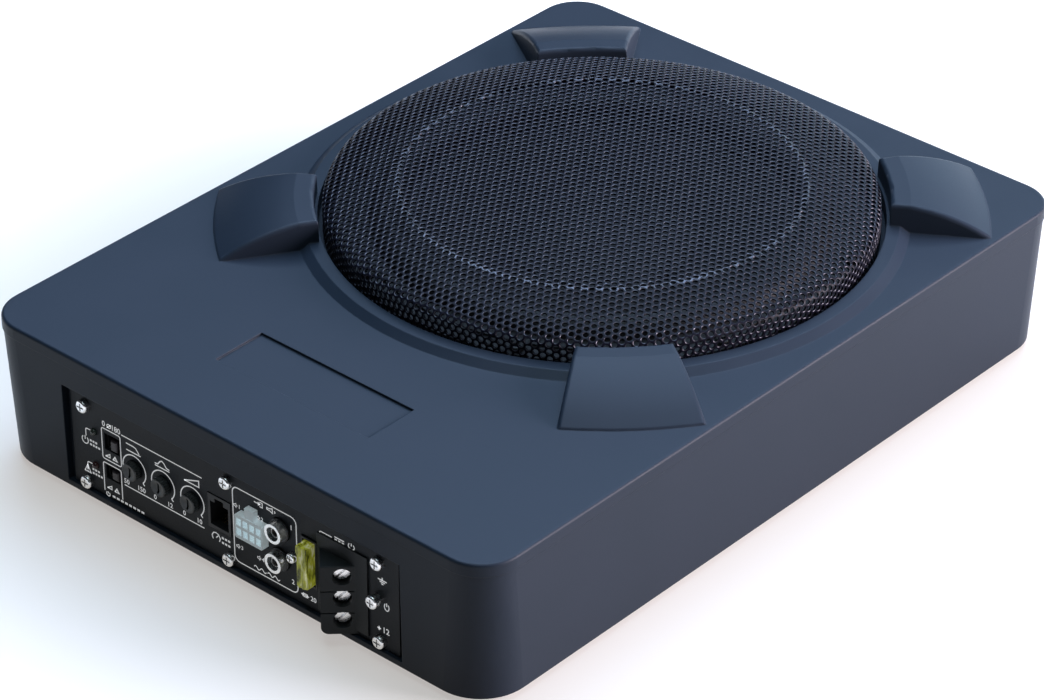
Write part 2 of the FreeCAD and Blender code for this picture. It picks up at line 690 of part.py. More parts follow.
def lead(points):
    """A round insulated wire along straight runs joined by tangent arcs."""
    edges = []
    here = points[0]
    for before, corner, after in zip(points, points[1:], points[2:]):
        back = before - corner
        ahead = after - corner
        turn = math.pi - back.getAngle(ahead)
        reach = 0.45 * min(back.Length, ahead.Length)
        radius = reach / math.tan(turn / 2)
        print("lead bend radius", round(radius, 1))
        start = corner + back.normalize() * reach
        end = corner + ahead.normalize() * reach
        bisector = (back + ahead).normalize()
        middle = corner + bisector * (radius / math.cos(turn / 2) - radius)
        edges += [Part.makeLine(here, start), Part.Arc(start, middle, end).toShape()]
        here = end
    edges.append(Part.makeLine(here, points[-1]))
    path = Part.Wire(edges)
    section = Part.Wire(Part.makeCircle(LEAD_R, points[0], points[1] - points[0]))
    return path.makePipeShell([section], True, False)


def speaker_lead(side):
    """From one tab of the woofer down and across to the amplifier's output connector."""
    y = side * TAB_Y
    end_y = sum(CONNECTOR_Y) / 2 + side * 3.5
    end_z = CONNECTOR_Z[0] + 4.0
    route = [V(TAB_END, y, TAB_Z), V(TAB_END - 14, y, TAB_Z), V(TAB_END - 24, y - 4, TAB_Z - 11),
             V(TAB_END - 34, end_y, end_z), V(CONNECTOR_X[1], end_y, end_z)]
    return lead(route)


def output_connector():
    return block(CONNECTOR_X, CONNECTOR_Y, CONNECTOR_Z)


# ---- Amplifier ----
def amplifier_board():
    board = block(BOARD_X, (-BOARD_HALF, BOARD_HALF), (BOARD_Z, BOARD_TOP))
    for x, y in STANDOFFS:
        board = board.cut(rod(1.6, V(x, y, BOARD_Z - 1), 5.0))
    return board


def board_standoffs():
    floor = BASE_Z + PLATE_THICKNESS
    return group([tube(3.5, 1.5, V(x, y, floor), BOARD_Z - floor) for x, y in STANDOFFS])


def board_screws():
    screw = pan_screw(2.8, 1.9, 1.45, 5.6)
    return group([facing(screw, V(x, y, BOARD_TOP), UP) for x, y in STANDOFFS])


def filter_capacitors():
    cans = []
    for x in CAPACITOR_X:
        for y in CAPACITOR_Y:
            can = rod(CAPACITOR_R, V(x, y, BOARD_TOP), CAPACITOR_HEIGHT)
            groove = tube(CAPACITOR_R + 1, CAPACITOR_R - 0.6, V(x, y, BOARD_TOP + 3.0), 1.2)
            cans.append(can.cut(groove))
    return group(cans)


def power_toroid():
    x, y = TOROID_AT
    ring = Part.makeTorus(TOROID_R, TOROID_THICKNESS_R, V(x, y, BOARD_TOP + TOROID_THICKNESS_R), UP)
    foot = rod(TOROID_R + 2, V(x, y, BOARD_TOP), 3.0)
    return ring.fuse(foot)


def heat_sink():
    """An upright aluminium plate with a row of fins on its woofer side."""
    base_x = (HEAT_SINK_X[0], HEAT_SINK_X[0] + HEAT_SINK_BASE)
    fin_z = (HEAT_SINK_Z[0] + 10, HEAT_SINK_Z[1])
    sink = block(base_x, (-HEAT_SINK_HALF, HEAT_SINK_HALF), HEAT_SINK_Z)
    pitch = (2 * HEAT_SINK_HALF - FIN_THICKNESS) / (FIN_COUNT - 1)
    for i in range(FIN_COUNT):
        y = -HEAT_SINK_HALF + pitch * i
        sink = sink.fuse(block((base_x[1] - 1, HEAT_SINK_X[1]), (y, y + FIN_THICKNESS), fin_z))
    for y in (-HEAT_SINK_HALF + 2, HEAT_SINK_HALF - 10):
        sink = sink.fuse(block(base_x, (y, y + 8), (BOARD_TOP, HEAT_SINK_Z[0] + 1)))
    return sink


def power_transistors():
    parts = []
    for i in range(TRANSISTOR_COUNT):
        y = (i - (TRANSISTOR_COUNT - 1) / 2) * TRANSISTOR_PITCH
        front = HEAT_SINK_X[0]
        part = block((front - 4.5, front), (y - 5, y + 5), (18.0, 33.0))
        for leg_y in (y - 3, y, y + 3):
            leg = block((front - 3, front - 2.4), (leg_y - 0.5, leg_y + 0.5), (BOARD_TOP, 18.0))
            part = part.fuse(leg)
        parts.append(part)
    return group(parts)


# ---- Control panel ----
def through_panel(y, z):
    return block((PANEL_FRONT - 5, PANEL_BACK + 5), y, z)


def round_panel_hole(radius, y, z):
    return rod(radius, V(PANEL_FRONT - 5, y, z), 12.0, IN)


def grown(pair, gap):
    return (pair[0] - gap, pair[1] + gap)


def control_panel():
    panel = block((PANEL_FRONT, PANEL_BACK), (-PANEL_HALF, PANEL_HALF), PANEL_Z)
    holder_wall = FUSE_PLAY + HOLDER_WALL + PANEL_GAP
    cuts = [through_panel(SWITCH_Y, z) for z in (PHASE_SWITCH_Z, POWER_SWITCH_Z)]
    cuts.append(through_panel(grown(FUSE_Y, holder_wall), grown(FUSE_Z, holder_wall)))
    for y, z in ((REMOTE_Y, REMOTE_Z), (INPUT_Y, INPUT_Z), (BLOCK_BODY_Y, BLOCK_BODY_Z)):
        cuts.append(through_panel(grown(y, PANEL_GAP), grown(z, PANEL_GAP)))
    cuts += [round_panel_hole(KNOB_SHAFT_R + 0.4, y, KNOB_Z) for y in KNOB_Y]
    cuts += [round_panel_hole(PHONO_BOSS_R + 0.2, y, z) for y, z in PHONO_CENTRES]
    cuts += [round_panel_hole(PANEL_SCREW_SHANK_R + 0.2, y, z) for y, z in PANEL_SCREWS]
    cuts += [round_panel_hole(LED_R + 0.1, LED_Y, z) for z in (POWER_LED_Z, PROTECT_LED_Z)]
    cuts.append(round_panel_hole(1.1, *PHONO_SCREW))
    cuts.append(round_panel_hole(1.5, *TERMINAL_SCREW))
    for cut in cuts:
        panel = panel.cut(cut)
    return panel


def panel_screws():
    screw = pan_screw(2.8, 2.4, PANEL_SCREW_SHANK_R, PANEL_SCREW_LENGTH)
    return group([facing(screw, V(PANEL_FRONT, y, z), OUT) for y, z in PANEL_SCREWS])


def phono_jack_screw():
    y, z = PHONO_SCREW
    return facing(pan_screw(2.1, 1.9, 1.0, 6.0), V(PANEL_FRONT, y, z), OUT)


def terminal_block_screw():
    y, z = TERMINAL_SCREW
    return facing(pan_screw(2.8, 2.2, 1.4, 6.0, 2.2, 2.0), V(PANEL_FRONT, y, z), OUT)


def trimmer_knob(y):
    """A small round knob with a screwdriver slot, on a shaft that runs in its potentiometer."""
    head_back = PANEL_FRONT - 0.3
    head = rod(KNOB_R, V(head_back, y, KNOB_Z), 2.8, OUT)
    rim = [e for e in head.Edges if e.BoundBox.XMax < head_back - 2.7]
    head = head.makeFillet(0.6, rim)
    front = head_back - 2.8
    slot = block((front - 1, front + 1.3), (y - 0.55, y + 0.55), (KNOB_Z - 2.6, KNOB_Z + 2.6))
    shaft = rod(KNOB_SHAFT_R, V(head_back, y, KNOB_Z), 5.2, IN)
    return head.cut(slot).fuse(shaft)


def potentiometers():
    bodies = []
    for y in KNOB_Y:
        body = block((PANEL_BACK + 0.1, -156.5), (y - 5.0, y + 5.0), (BOARD_TOP, 31.5))
        bodies.append(body.cut(rod(KNOB_SHAFT_R + 0.06, V(PANEL_BACK - 1, y, KNOB_Z), 5.2, IN)))
    return group(bodies)


def slide_switch_body(z, foot_z):
    body_y = (SWITCH_Y[0] - 2.0, SWITCH_Y[1] + 2.0)
    body = block((PANEL_BACK + 0.1, -158.5), body_y, (foot_z, z[1] + 1.9))
    channel_y = (SWITCH_Y[0] + 0.4, SWITCH_Y[1] - 0.3)
    channel = block((PANEL_BACK - 1, -163.0), channel_y, (z[0] + 1.0, z[1] - 1.0))
    return body.cut(channel)


def slide_switch_slider(z):
    start = SWITCH_Y[0] + 0.8
    lever = block((PANEL_FRONT - 0.9, -163.4), (start, start + SLIDER_WIDTH), (z[0] + 1.4, z[1] - 1.4))
    front = [e for e in lever.Edges if e.BoundBox.XMax < PANEL_FRONT - 0.8]
    return lever.makeChamfer(0.4, front)


def indicator_led(z):
    """A round lamp in the panel, with a shoulder behind it."""
    centre = V(PANEL_FRONT - 0.3, LED_Y, z)
    lamp = rod(LED_R, centre, 4.2, IN)
    dome = Part.makeSphere(LED_R, centre).common(block((-175, centre.x), (60, 90), (0, 60)))
    shoulder = rod(LED_R + 0.5, V(PANEL_BACK + 0.1, LED_Y, z), 1.0, IN)
    return lamp.fuse(dome).fuse(shoulder)


def remote_socket():
    """A modular socket with a keyed cavity for a remote level control's plug."""
    front = PANEL_FRONT - 0.3
    housing = block((front, SOCKET_BACK), REMOTE_Y, REMOTE_Z)
    back = block((BOARD_X[0], SOCKET_BACK), REMOTE_Y, (BOARD_TOP, REMOTE_Z[1]))
    cavity = block((front - 1, REMOTE_CAVITY_BACK), REMOTE_CAVITY_Y, REMOTE_CAVITY_Z)
    cavity_top = REMOTE_CAVITY_Z[1]
    latch = block((front - 1, -160.0), (3.9, 8.4), (cavity_top - 1, cavity_top + 1.9))
    return housing.fuse(back).cut(cavity).cut(latch)


def remote_socket_contacts():
    """Sprung wires that slope up from the cavity's floor to its back."""
    wires = []
    for i in range(REMOTE_CONTACT_COUNT):
        y = 3.1 + REMOTE_CONTACT_PITCH * i
        line = [V(-166.5, y, 20.6), V(-160.0, y, 22.4), V(-158.0, y, 22.4)]
        under = [V(-158.0, y, 22.0), V(-159.9, y, 22.0), V(-166.4, y, 20.2)]
        face = Part.Face(Part.makePolygon(line + under + line[:1]))
        wires.append(face.extrude(V(0, 0.45, 0)))
    return group(wires)


def input_cavities():
    """Centres of the speaker input socket's pin cavities."""
    pitch_y, pitch_z = INPUT_PITCH
    centre_y = sum(INPUT_Y) / 2
    centre_z = sum(INPUT_Z) / 2
    places = []
    for row in range(INPUT_ROWS):
        for column in range(INPUT_COLUMNS):
            y = centre_y + (column - (INPUT_COLUMNS - 1) / 2) * pitch_y
            z = centre_z + (row - (INPUT_ROWS - 1) / 2) * pitch_z
            places.append((y, z))
    return places


def speaker_input_socket():
    housing = block((INPUT_FRONT, -156.0), INPUT_Y, INPUT_Z)
    corners = [e for e in housing.Edges if e.BoundBox.XLength > 5]
    housing = housing.makeFillet(0.8, corners)
    foot = block((PANEL_BACK + 0.2, -156.0), INPUT_Y, (BOARD_TOP, INPUT_Z[0] + 2))
    middle = sum(INPUT_Y) / 2
    latch_y = (middle - INPUT_LATCH_HALF, middle + INPUT_LATCH_HALF)
    latch = block((INPUT_FRONT + 0.4, PANEL_FRONT - 0.1), latch_y, (INPUT_Z[1] - 0.5, INPUT_LATCH_TOP))
    housing = housing.fuse(foot).fuse(latch)
    half_y, half_z = INPUT_CAVITY_HALF
    cavity_x = (INPUT_FRONT - 1, INPUT_CAVITY_BACK)
    for y, z in input_cavities():
        housing = housing.cut(block(cavity_x, (y - half_y, y + half_y), (z - half_z, z + half_z)))
    return housing


def speaker_input_pins():
    pin_x = (INPUT_FRONT + 2, INPUT_CAVITY_BACK)
    half = INPUT_PIN_HALF
    return group([block(pin_x, (y - half, y + half), (z - half, z + half)) for y, z in input_cavities()])


def phono_jack_body():
    middle_y = sum(y for y, z in PHONO_CENTRES) / 2
    body = block((PANEL_BACK + 0.1, SOCKET_BACK), (middle_y - 6.2, middle_y + 5.9), (BOARD_TOP, 40.5))
    for y, z in PHONO_CENTRES:
        body = body.fuse(rod(PHONO_BOSS_R, V(PHONO_COLLAR_FRONT, y, z), 6.0, IN))
    for y, z in PHONO_CENTRES:
        body = body.cut(rod(PHONO_INNER_R, V(PHONO_COLLAR_FRONT - 1, y, z), 11.5, IN))
    y, z = PHONO_SCREW
    return body.cut(rod(1.05, V(PANEL_FRONT - 2, y, z), 9.0, IN))


def phono_tube(outer_r, inner_r, front, length):
    return group([tube(outer_r, inner_r, V(front, y, z), length, IN) for y, z in PHONO_CENTRES])


def phono_jack_sleeves():
    """The nickelled outer contacts, each a little narrower where it sits in the moulding."""
    sleeves = []
    exposed = PHONO_COLLAR_FRONT - PHONO_FRONT
    for y, z in PHONO_CENTRES:
        sleeve = rod(PHONO_SLEEVE_R, V(PHONO_FRONT, y, z), exposed, IN)
        sleeve = sleeve.fuse(rod(PHONO_INNER_R, V(PHONO_FRONT, y, z), 14.0, IN))
        sleeves.append(sleeve.cut(rod(PHONO_BORE_R, V(PHONO_FRONT - 1, y, z), 16.0, IN)))
    return group(sleeves)


def phono_jack_insulators():
    return phono_tube(PHONO_BORE_R, PHONO_CONTACT_R, PHONO_FRONT + 1.0, 12.5)


def phono_jack_contacts():
    return phono_tube(PHONO_CONTACT_R, PHONO_HOLE_R, PHONO_FRONT + 1.3, 12.0)


def fuse_holder():
    outside_y = grown(FUSE_Y, FUSE_PLAY + HOLDER_WALL)
    outside_z = grown(FUSE_Z, FUSE_PLAY + HOLDER_WALL)
    body = block((PANEL_FRONT - 0.8, SOCKET_BACK), outside_y, outside_z)
    foot = block((PANEL_BACK + 0.2, SOCKET_BACK), outside_y, (BOARD_TOP, outside_z[0] + 1))
    mouth_x = (FUSE_FRONT - 5, FUSE_BACK + FUSE_PLAY)
    mouth = block(mouth_x, grown(FUSE_Y, FUSE_PLAY), grown(FUSE_Z, FUSE_PLAY))
    body = body.fuse(foot).cut(mouth)
    middle = sum(FUSE_Y) / 2
    slot_y = grown((middle - BLADE_THICKNESS / 2, middle + BLADE_THICKNESS / 2), FUSE_PLAY)
    for low in BLADE_Z:
        slot_z = grown((low, low + BLADE_WIDTH), FUSE_PLAY)
        body = body.cut(block((FUSE_BACK - 1, BLADE_BACK + 0.4), slot_y, slot_z))
    return body


def blade_fuse():
    """The coloured body of a blade fuse, waisted in the middle and thicker at its head."""
    body = block((FUSE_FRONT, FUSE_BACK), FUSE_Y, FUSE_Z)
    rim = [e for e in body.Edges if e.BoundBox.XMax < FUSE_FRONT + 0.1]
    body = body.makeFillet(0.9, rim)
    waist = (FUSE_Z[0] + 4.6, FUSE_Z[1] - 4.6)
    for y in FUSE_Y:
        body = body.cut(block((FUSE_FRONT + 2.2, FUSE_BACK - 2.0), (y - 0.9, y + 0.9), waist))
    return body


def fuse_blades():
    middle = sum(FUSE_Y) / 2
    y = (middle - BLADE_THICKNESS / 2, middle + BLADE_THICKNESS / 2)
    return group([block((FUSE_BACK, BLADE_BACK), y, (low, low + BLADE_WIDTH)) for low in BLADE_Z])


def clamp_place(row_z, depth):
    """A point on a clamp screw's axis, depth inside the slanted face."""
    return V(CLAMP_SCREW_AT[0], CLAMP_SCREW_AT[1], row_z) - CLAMP_AXIS * depth


def clamp_shank_hole(row_z):
    return rod(CLAMP_SHANK_R + 0.4, clamp_place(row_z, 0), 12.5, -CLAMP_AXIS)


def terminal_wedge():
    plan = [(PANEL_FRONT, TERMINAL_Y[0]), TERMINAL_NOSE, (PANEL_FRONT, TERMINAL_Y[1])]
    wedge = plan_prism(plan, TERMINAL_Z)
    under = []
    for edge in wedge.Edges:
        box = edge.BoundBox
        low = box.ZMax < TERMINAL_Z[0] + 0.1
        under += [edge] if low and box.YMax > TERMINAL_Y[1] - 0.1 and box.XMin < -175 else []
    wedge = wedge.makeFillet(3.0, under)
    crest = [e for e in wedge.Edges if e.BoundBox.ZMin > TERMINAL_Z[1] - 0.1 and e.BoundBox.XMin < -175]
    return wedge.makeFillet(0.5, crest)


def terminal_block():
    """Three wire clamps in one moulding: slanted screw face one side, wire mouths the other."""
    flange_x = (PANEL_FRONT - TERMINAL_FLANGE_THICKNESS, PANEL_FRONT)
    flange = block(flange_x, TERMINAL_FLANGE_Y, TERMINAL_FLANGE_Z)
    body = block((PANEL_FRONT - 0.1, BLOCK_BODY_BACK), BLOCK_BODY_Y, BLOCK_BODY_Z)
    foot = block((BLOCK_BODY_BACK - 1, BLOCK_FOOT_BACK), BLOCK_BODY_Y, (BOARD_TOP, BLOCK_BODY_Z[1]))
    block_shape = terminal_wedge().fuse(flange).fuse(body).fuse(foot)
    half_width = TERMINAL_Y[1] - TERMINAL_NOSE[1]
    groove = 0.45
    for z in TERMINAL_SEAMS:
        front = PANEL_FRONT - 0.9
        outside = plan_prism([(front, TERMINAL_Y[0] - 9), (TERMINAL_NOSE[0] - 9, TERMINAL_NOSE[1]),
                              (front, TERMINAL_Y[1] + 9)], (z - 0.25, z + 0.25))
        reach = half_width - groove * 1.5
        inside = plan_prism([(PANEL_FRONT + 1, TERMINAL_NOSE[1] - reach - 1),
                             (PANEL_FRONT - reach, TERMINAL_NOSE[1]),
                             (PANEL_FRONT + 1, TERMINAL_NOSE[1] + reach + 1)], (z - 1, z + 1))
        block_shape = block_shape.cut(outside.cut(inside))
    for z in TERMINAL_ROWS:
        pocket = block((-185.0, CLAMP_X[1]), WIRE_POCKET_Y, (z - WIRE_POCKET_HALF, z + WIRE_POCKET_HALF))
        block_shape = block_shape.cut(pocket)
        well = rod(CLAMP_WELL_R, clamp_place(z, -5), CLAMP_WELL_DEPTH + 5, -CLAMP_AXIS)
        block_shape = block_shape.cut(well).cut(clamp_shank_hole(z))
    return block_shape


def terminal_clamps():
    cages = []
    for z in TERMINAL_ROWS:
        outer = block(CLAMP_X, grown(WIRE_POCKET_Y, -0.05), (z - 3.0, z + 3.0))
        inner = block((CLAMP_X[0] - 1, CLAMP_X[1] + 1), grown(WIRE_POCKET_Y, -0.75), (z - 2.3, z + 2.3))
        cage = outer.cut(inner)
        cages.append(cage.cut(clamp_shank_hole(z)))
    return group(cages)


def clamp_screw(row_z):
    head = rod(CLAMP_HEAD_R, V(0, 0, 0), CLAMP_HEAD_HEIGHT)
    slot = block((-3.5, 3.5), (-0.4, 0.4), (CLAMP_HEAD_HEIGHT - 0.9, CLAMP_HEAD_HEIGHT + 1))
    shank = rod(CLAMP_SHANK_R, V(0, 0, -CLAMP_SHANK_LENGTH), CLAMP_SHANK_LENGTH + 0.1)
    return facing(head.cut(slot).fuse(shank), clamp_place(row_z, CLAMP_SEAT_DEPTH), CLAMP_AXIS)


# ---- Export ----
NODES = {
    "top_shell": top_shell,
    "bottom_plate": bottom_plate,
    "bottom_plate_screws": bottom_plate_screws,
    "bottom_gasket": bottom_gasket,
    "rubber_feet": rubber_feet,
    "woofer_grille": woofer_grille,
    "woofer_basket": woofer_basket,
    "woofer_gasket": woofer_gasket,
    "woofer_screws": woofer_screws,
    "woofer_surround": woofer_surround,
    "woofer_cone": woofer_cone,
    "dust_cap": dust_cap,
    "voice_coil_former": voice_coil_former,
    "voice_coil_winding": voice_coil_winding,
    "spider": spider,
    "woofer_front_plate": woofer_front_plate,
    "woofer_magnet": woofer_magnet,
    "woofer_pole_plate": woofer_pole_plate,
    "woofer_terminal_strip": woofer_terminal_strip,
    "woofer_terminal_tabs": woofer_terminal_tabs,
    "speaker_lead_positive": lambda: speaker_lead(1),
    "speaker_lead_negative": lambda: speaker_lead(-1),
    "output_connector": output_connector,
    "amplifier_board": amplifier_board,
    "board_standoffs": board_standoffs,
    "board_screws": board_screws,
    "filter_capacitors": filter_capacitors,
    "power_toroid": power_toroid,
    "heat_sink": heat_sink,
    "power_transistors": power_transistors,
    "control_panel": control_panel,
    "panel_screws": panel_screws,
    "phono_jack_screw": phono_jack_screw,
    "terminal_block_screw": terminal_block_screw,
    "crossover_knob": lambda: trimmer_knob(KNOB_Y[0]),
    "bass_knob": lambda: trimmer_knob(KNOB_Y[1]),
    "gain_knob": lambda: trimmer_knob(KNOB_Y[2]),
    "potentiometers": potentiometers,
    "phase_switch_body": lambda: slide_switch_body(PHASE_SWITCH_Z, PHASE_SWITCH_Z[0] - 1.9),
    "phase_switch_slider": lambda: slide_switch_slider(PHASE_SWITCH_Z),
    "power_switch_body": lambda: slide_switch_body(POWER_SWITCH_Z, BOARD_TOP),
    "power_switch_slider": lambda: slide_switch_slider(POWER_SWITCH_Z),
    "power_led": lambda: indicator_led(POWER_LED_Z),
    "protect_led": lambda: indicator_led(PROTECT_LED_Z),
    "remote_socket": remote_socket,
    "remote_socket_contacts": remote_socket_contacts,
    "speaker_input_socket": speaker_input_socket,
    "speaker_input_pins": speaker_input_pins,
    "phono_jack_body": phono_jack_body,
    "phono_jack_sleeves": phono_jack_sleeves,
    "phono_jack_insulators": phono_jack_insulators,
    "phono_jack_contacts": phono_jack_contacts,
    "fuse_holder": fuse_holder,
    "blade_fuse": blade_fuse,
    "fuse_blades": fuse_blades,
    "terminal_block": terminal_block,
    "terminal_clamps": terminal_clamps,
    "clamp_screw_ground": lambda: clamp_screw(TERMINAL_ROWS[0]),
    "clamp_screw_remote": lambda: clamp_screw(TERMINAL_ROWS[1]),
    "clamp_screw_supply": lambda: clamp_screw(TERMINAL_ROWS[2]),
}

os.makedirs("parts", exist_ok=True)
for node, make in NODES.items():
    shape = make()
    shape.translate(ORIGIN_SHIFT)
    shape.exportStep("parts/" + node + ".step")
    print(node, "valid" if shape.isValid() else "NOT VALID", len(shape.Solids), round(shape.Volume, 2))
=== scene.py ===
"""The looks of a low, powered car subwoofer: materials, perforated grille, panel print and small parts."""

import json
import math

import bmesh
import bpy
from mathutils import Matrix, Vector
from mathutils.noise import noise as noise_at


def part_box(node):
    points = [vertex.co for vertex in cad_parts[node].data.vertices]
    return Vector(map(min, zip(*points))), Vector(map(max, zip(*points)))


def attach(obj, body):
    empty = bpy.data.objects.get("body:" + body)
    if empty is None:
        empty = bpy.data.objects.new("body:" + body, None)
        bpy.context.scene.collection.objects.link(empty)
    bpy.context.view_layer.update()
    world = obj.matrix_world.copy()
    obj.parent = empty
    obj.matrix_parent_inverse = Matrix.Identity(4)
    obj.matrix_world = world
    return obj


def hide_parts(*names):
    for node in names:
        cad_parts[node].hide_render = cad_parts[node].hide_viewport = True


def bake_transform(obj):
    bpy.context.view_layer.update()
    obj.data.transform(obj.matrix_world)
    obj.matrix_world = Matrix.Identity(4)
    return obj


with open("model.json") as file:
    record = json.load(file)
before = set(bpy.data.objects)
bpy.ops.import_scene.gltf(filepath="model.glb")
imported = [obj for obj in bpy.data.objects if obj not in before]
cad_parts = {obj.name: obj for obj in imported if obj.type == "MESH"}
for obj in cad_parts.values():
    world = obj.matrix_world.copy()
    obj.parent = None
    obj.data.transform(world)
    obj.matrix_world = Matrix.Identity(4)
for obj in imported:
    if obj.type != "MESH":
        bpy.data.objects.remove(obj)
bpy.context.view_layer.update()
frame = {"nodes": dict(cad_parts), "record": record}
NODES = frame["nodes"]
MM = 0.001

# ---- Places read from the frame, in metres ----
GRILLE_LOW, GRILLE_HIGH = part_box("woofer_grille")
AXIS = (GRILLE_LOW + GRILLE_HIGH) / 2
GRILLE_R = (GRILLE_HIGH.x - GRILLE_LOW.x) / 2
PANEL_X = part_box("control_panel")[0].x

# ---- Grille ----
HOLE_PITCH = 3.2 * MM
HOLE_R = 1.16 * MM
ROW_ANGLE = math.radians(36)
SHEET_THICKNESS = 0.85 * MM
SHEET_BURR = 0.16 * MM
EDGE_DEPTH = 0.38 * MM
CELL_STEPS = 12
GRILLE_BANDS = (0.0, 0.062, 0.088, 0.107, 0.1235)
RIDGE_AT = 81.0 * MM
RIDGE_HALF = 0.9 * MM
RIDGE_HEIGHT = 0.35 * MM
RIM_GAP = 0.5 * MM
RIM_WIDTH = 4.0 * MM

# ---- Panel print, in millimetres on the panel: y across (+Y is the left end), z up from the floor ----
PRINT_RAISE = 0.05 * MM
FRAME_LINE = 0.48
ICON_LINE = 0.46
BAR_LINE = 0.9
DIAL_LINE = 0.5
DIAL_R = 6.2
DIAL_TURNS = (225, -45)
TICK = 1.3
KNOB_NODES = ("crossover_knob", "bass_knob", "gain_knob")

# ---- Camera ----
CAMERA_TARGET = Vector((0.01969, 0.02071, 0.003))
CAMERA_DISTANCE = 1.75467
CAMERA_AZIMUTH = math.radians(-48.366)
CAMERA_ELEVATION = math.radians(33.0415)
CAMERA_ROLL = math.radians(0.0934)
CAMERA_LENS = 149.52
CAMERA_SENSOR = 36.0


# ---- Stage, camera and lights ----
def make_camera():
    azimuth, elevation = CAMERA_AZIMUTH, CAMERA_ELEVATION
    back = Vector((math.sin(azimuth) * math.cos(elevation), -math.cos(azimuth) * math.cos(elevation),
                   math.sin(elevation)))
    right = Vector((math.cos(azimuth), math.sin(azimuth), 0))
    up = back.cross(right)
    cos_roll, sin_roll = math.cos(CAMERA_ROLL), math.sin(CAMERA_ROLL)
    rolled_right = right * cos_roll + up * sin_roll
    rolled_up = up * cos_roll - right * sin_roll
    camera = bpy.data.objects.new("camera", bpy.data.cameras.new("camera"))
    bpy.context.scene.collection.objects.link(camera)
    camera.data.lens = CAMERA_LENS
    camera.data.sensor_width = CAMERA_SENSOR
    camera.data.sensor_fit = "HORIZONTAL"
    turn = Matrix((rolled_right, rolled_up, back)).transposed().to_4x4()
    camera.matrix_world = Matrix.Translation(CAMERA_TARGET + back * CAMERA_DISTANCE) @ turn
    bpy.context.scene.camera = camera


def soft_light(name, place, width, height, watts, colour, target=(0.0, 0.0, 0.03)):
    light = bpy.data.lights.new(name, "AREA")
    light.shape = "RECTANGLE"
    light.size = width
    light.size_y = height
    light.energy = watts
    light.color = colour
    lamp = bpy.data.objects.new(name, light)
    bpy.context.scene.collection.objects.link(lamp)
    lamp.location = place
    lamp.rotation_mode = "QUATERNION"
    lamp.rotation_quaternion = (Vector(target) - Vector(place)).to_track_quat("-Z", "Y")


def make_lights():
    world = bpy.data.worlds.new("studio")
    bpy.context.scene.world = world
    world.use_nodes = True
    background = world.node_tree.nodes["Background"]
    background.inputs["Color"].default_value = (0.85, 0.93, 1.0, 1)
    background.inputs["Strength"].default_value = 0.06
    soft_light("overhead_light", (0.75, 0.45, 1.75), 1.7, 1.7, 55.0, (0.51, 0.71, 1.0))
    soft_light("right_light", (1.15, -1.6, 0.7), 1.5, 1.0, 100.0, (1.0, 0.87, 0.95))
    soft_light("far_light", (2.0, 0.45, 0.45), 1.6, 0.7, 8.4, (0.6, 0.83, 1.0))
    soft_light("top_light", (-0.3, -0.2, 1.9), 1.0, 1.0, 7.0, (0.75, 0.95, 1.0))


def make_floor():
    """White paper that glows, with a painted shadow: greyer and glowing less close to the object.

    The object mirrors it, but gets no diffuse light from it, so that the walls stay dark.
    """
    half = 6.0
    corners = [(-half, -half, 0), (half, -half, 0), (half, half, 0), (-half, half, 0)]
    floor = mesh_piece("floor", corners, [(0, 1, 2, 3)])
    paper, shader = new_material("floor_paper")
    reach = add_node(paper, "ShaderNodeVectorMath")
    reach.operation = "LENGTH"
    connect(paper, reach, 0, object_place(paper))
    # painted shadow: the paper's colour and glow fall off towards the object, from 0.38 m in to 0.20 m
    painted_shadow_fade = spread(paper, reach.outputs["Value"], 0.0, 1.0, 0.20, 0.38)
    connect(paper, shader, "Base Color", mix_colour(paper, painted_shadow_fade, (0.46, 0.45, 0.43), (0.76, 0.74, 0.70)))
    connect(paper, shader, "Emission Strength", spread(paper, painted_shadow_fade, 0.46, 0.62, 0.0, 1.0))
    shader.inputs["Roughness"].default_value = 0.95
    shader.inputs["Specular IOR Level"].default_value = 0.1
    shader.inputs["Emission Color"].default_value = (1.0, 0.95, 0.92, 1)
    floor.data.materials.append(paper)
    floor.visible_diffuse = False


# ---- Mesh helpers ----
def mesh_piece(name, points, faces, smooth=False):
    mesh = bpy.data.meshes.new(name)
    mesh.from_pydata([tuple(p) for p in points], [], faces)
    mesh.update()
    piece = bpy.data.objects.new(name, mesh)
    bpy.context.scene.collection.objects.link(piece)
    if smooth:
        smooth_by_angle(piece)
    return piece


def smooth_by_angle(piece, degrees=40):
    piece.data.shade_smooth()
    piece.data.set_sharp_from_angle(angle=math.radians(degrees))


def from_bmesh(name, drawn, smooth=True):
    mesh = bpy.data.meshes.new(name)
    bmesh.ops.recalc_face_normals(drawn, faces=drawn.faces)
    drawn.to_mesh(mesh)
    drawn.free()
    piece = bpy.data.objects.new(name, mesh)
    bpy.context.scene.collection.objects.link(piece)
    if smooth:
        smooth_by_angle(piece)
    return piece


def keep_modified(piece):
    """Make the modifiers' result the piece's own mesh."""
    made = bpy.data.meshes.new_from_object(piece.evaluated_get(bpy.context.evaluated_depsgraph_get()))
    piece.modifiers.clear()
    piece.data = made


def finish_piece(piece, body, material, slot, *nodes):
    piece.data.materials.clear()
    piece.data.materials.append(material)
    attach(piece, body)
    if nodes:
        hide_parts(*nodes)


# ---- Material helpers ----
def new_material(name):
    material = bpy.data.materials.new(name)
    material.use_nodes = True
    tree = material.node_tree
    tree.nodes.clear()
    output = tree.nodes.new("ShaderNodeOutputMaterial")
    shader = tree.nodes.new("ShaderNodeBsdfPrincipled")
    tree.links.new(shader.outputs[0], output.inputs[0])
    return material, shader


def connect(material, node, socket, source):
    material.node_tree.links.new(source, node.inputs[socket])


def add_node(material, kind, **inputs):
    node = material.node_tree.nodes.new(kind)
    for name, value in inputs.items():
        node.inputs[name.replace("_", " ")].default_value = value
    return node


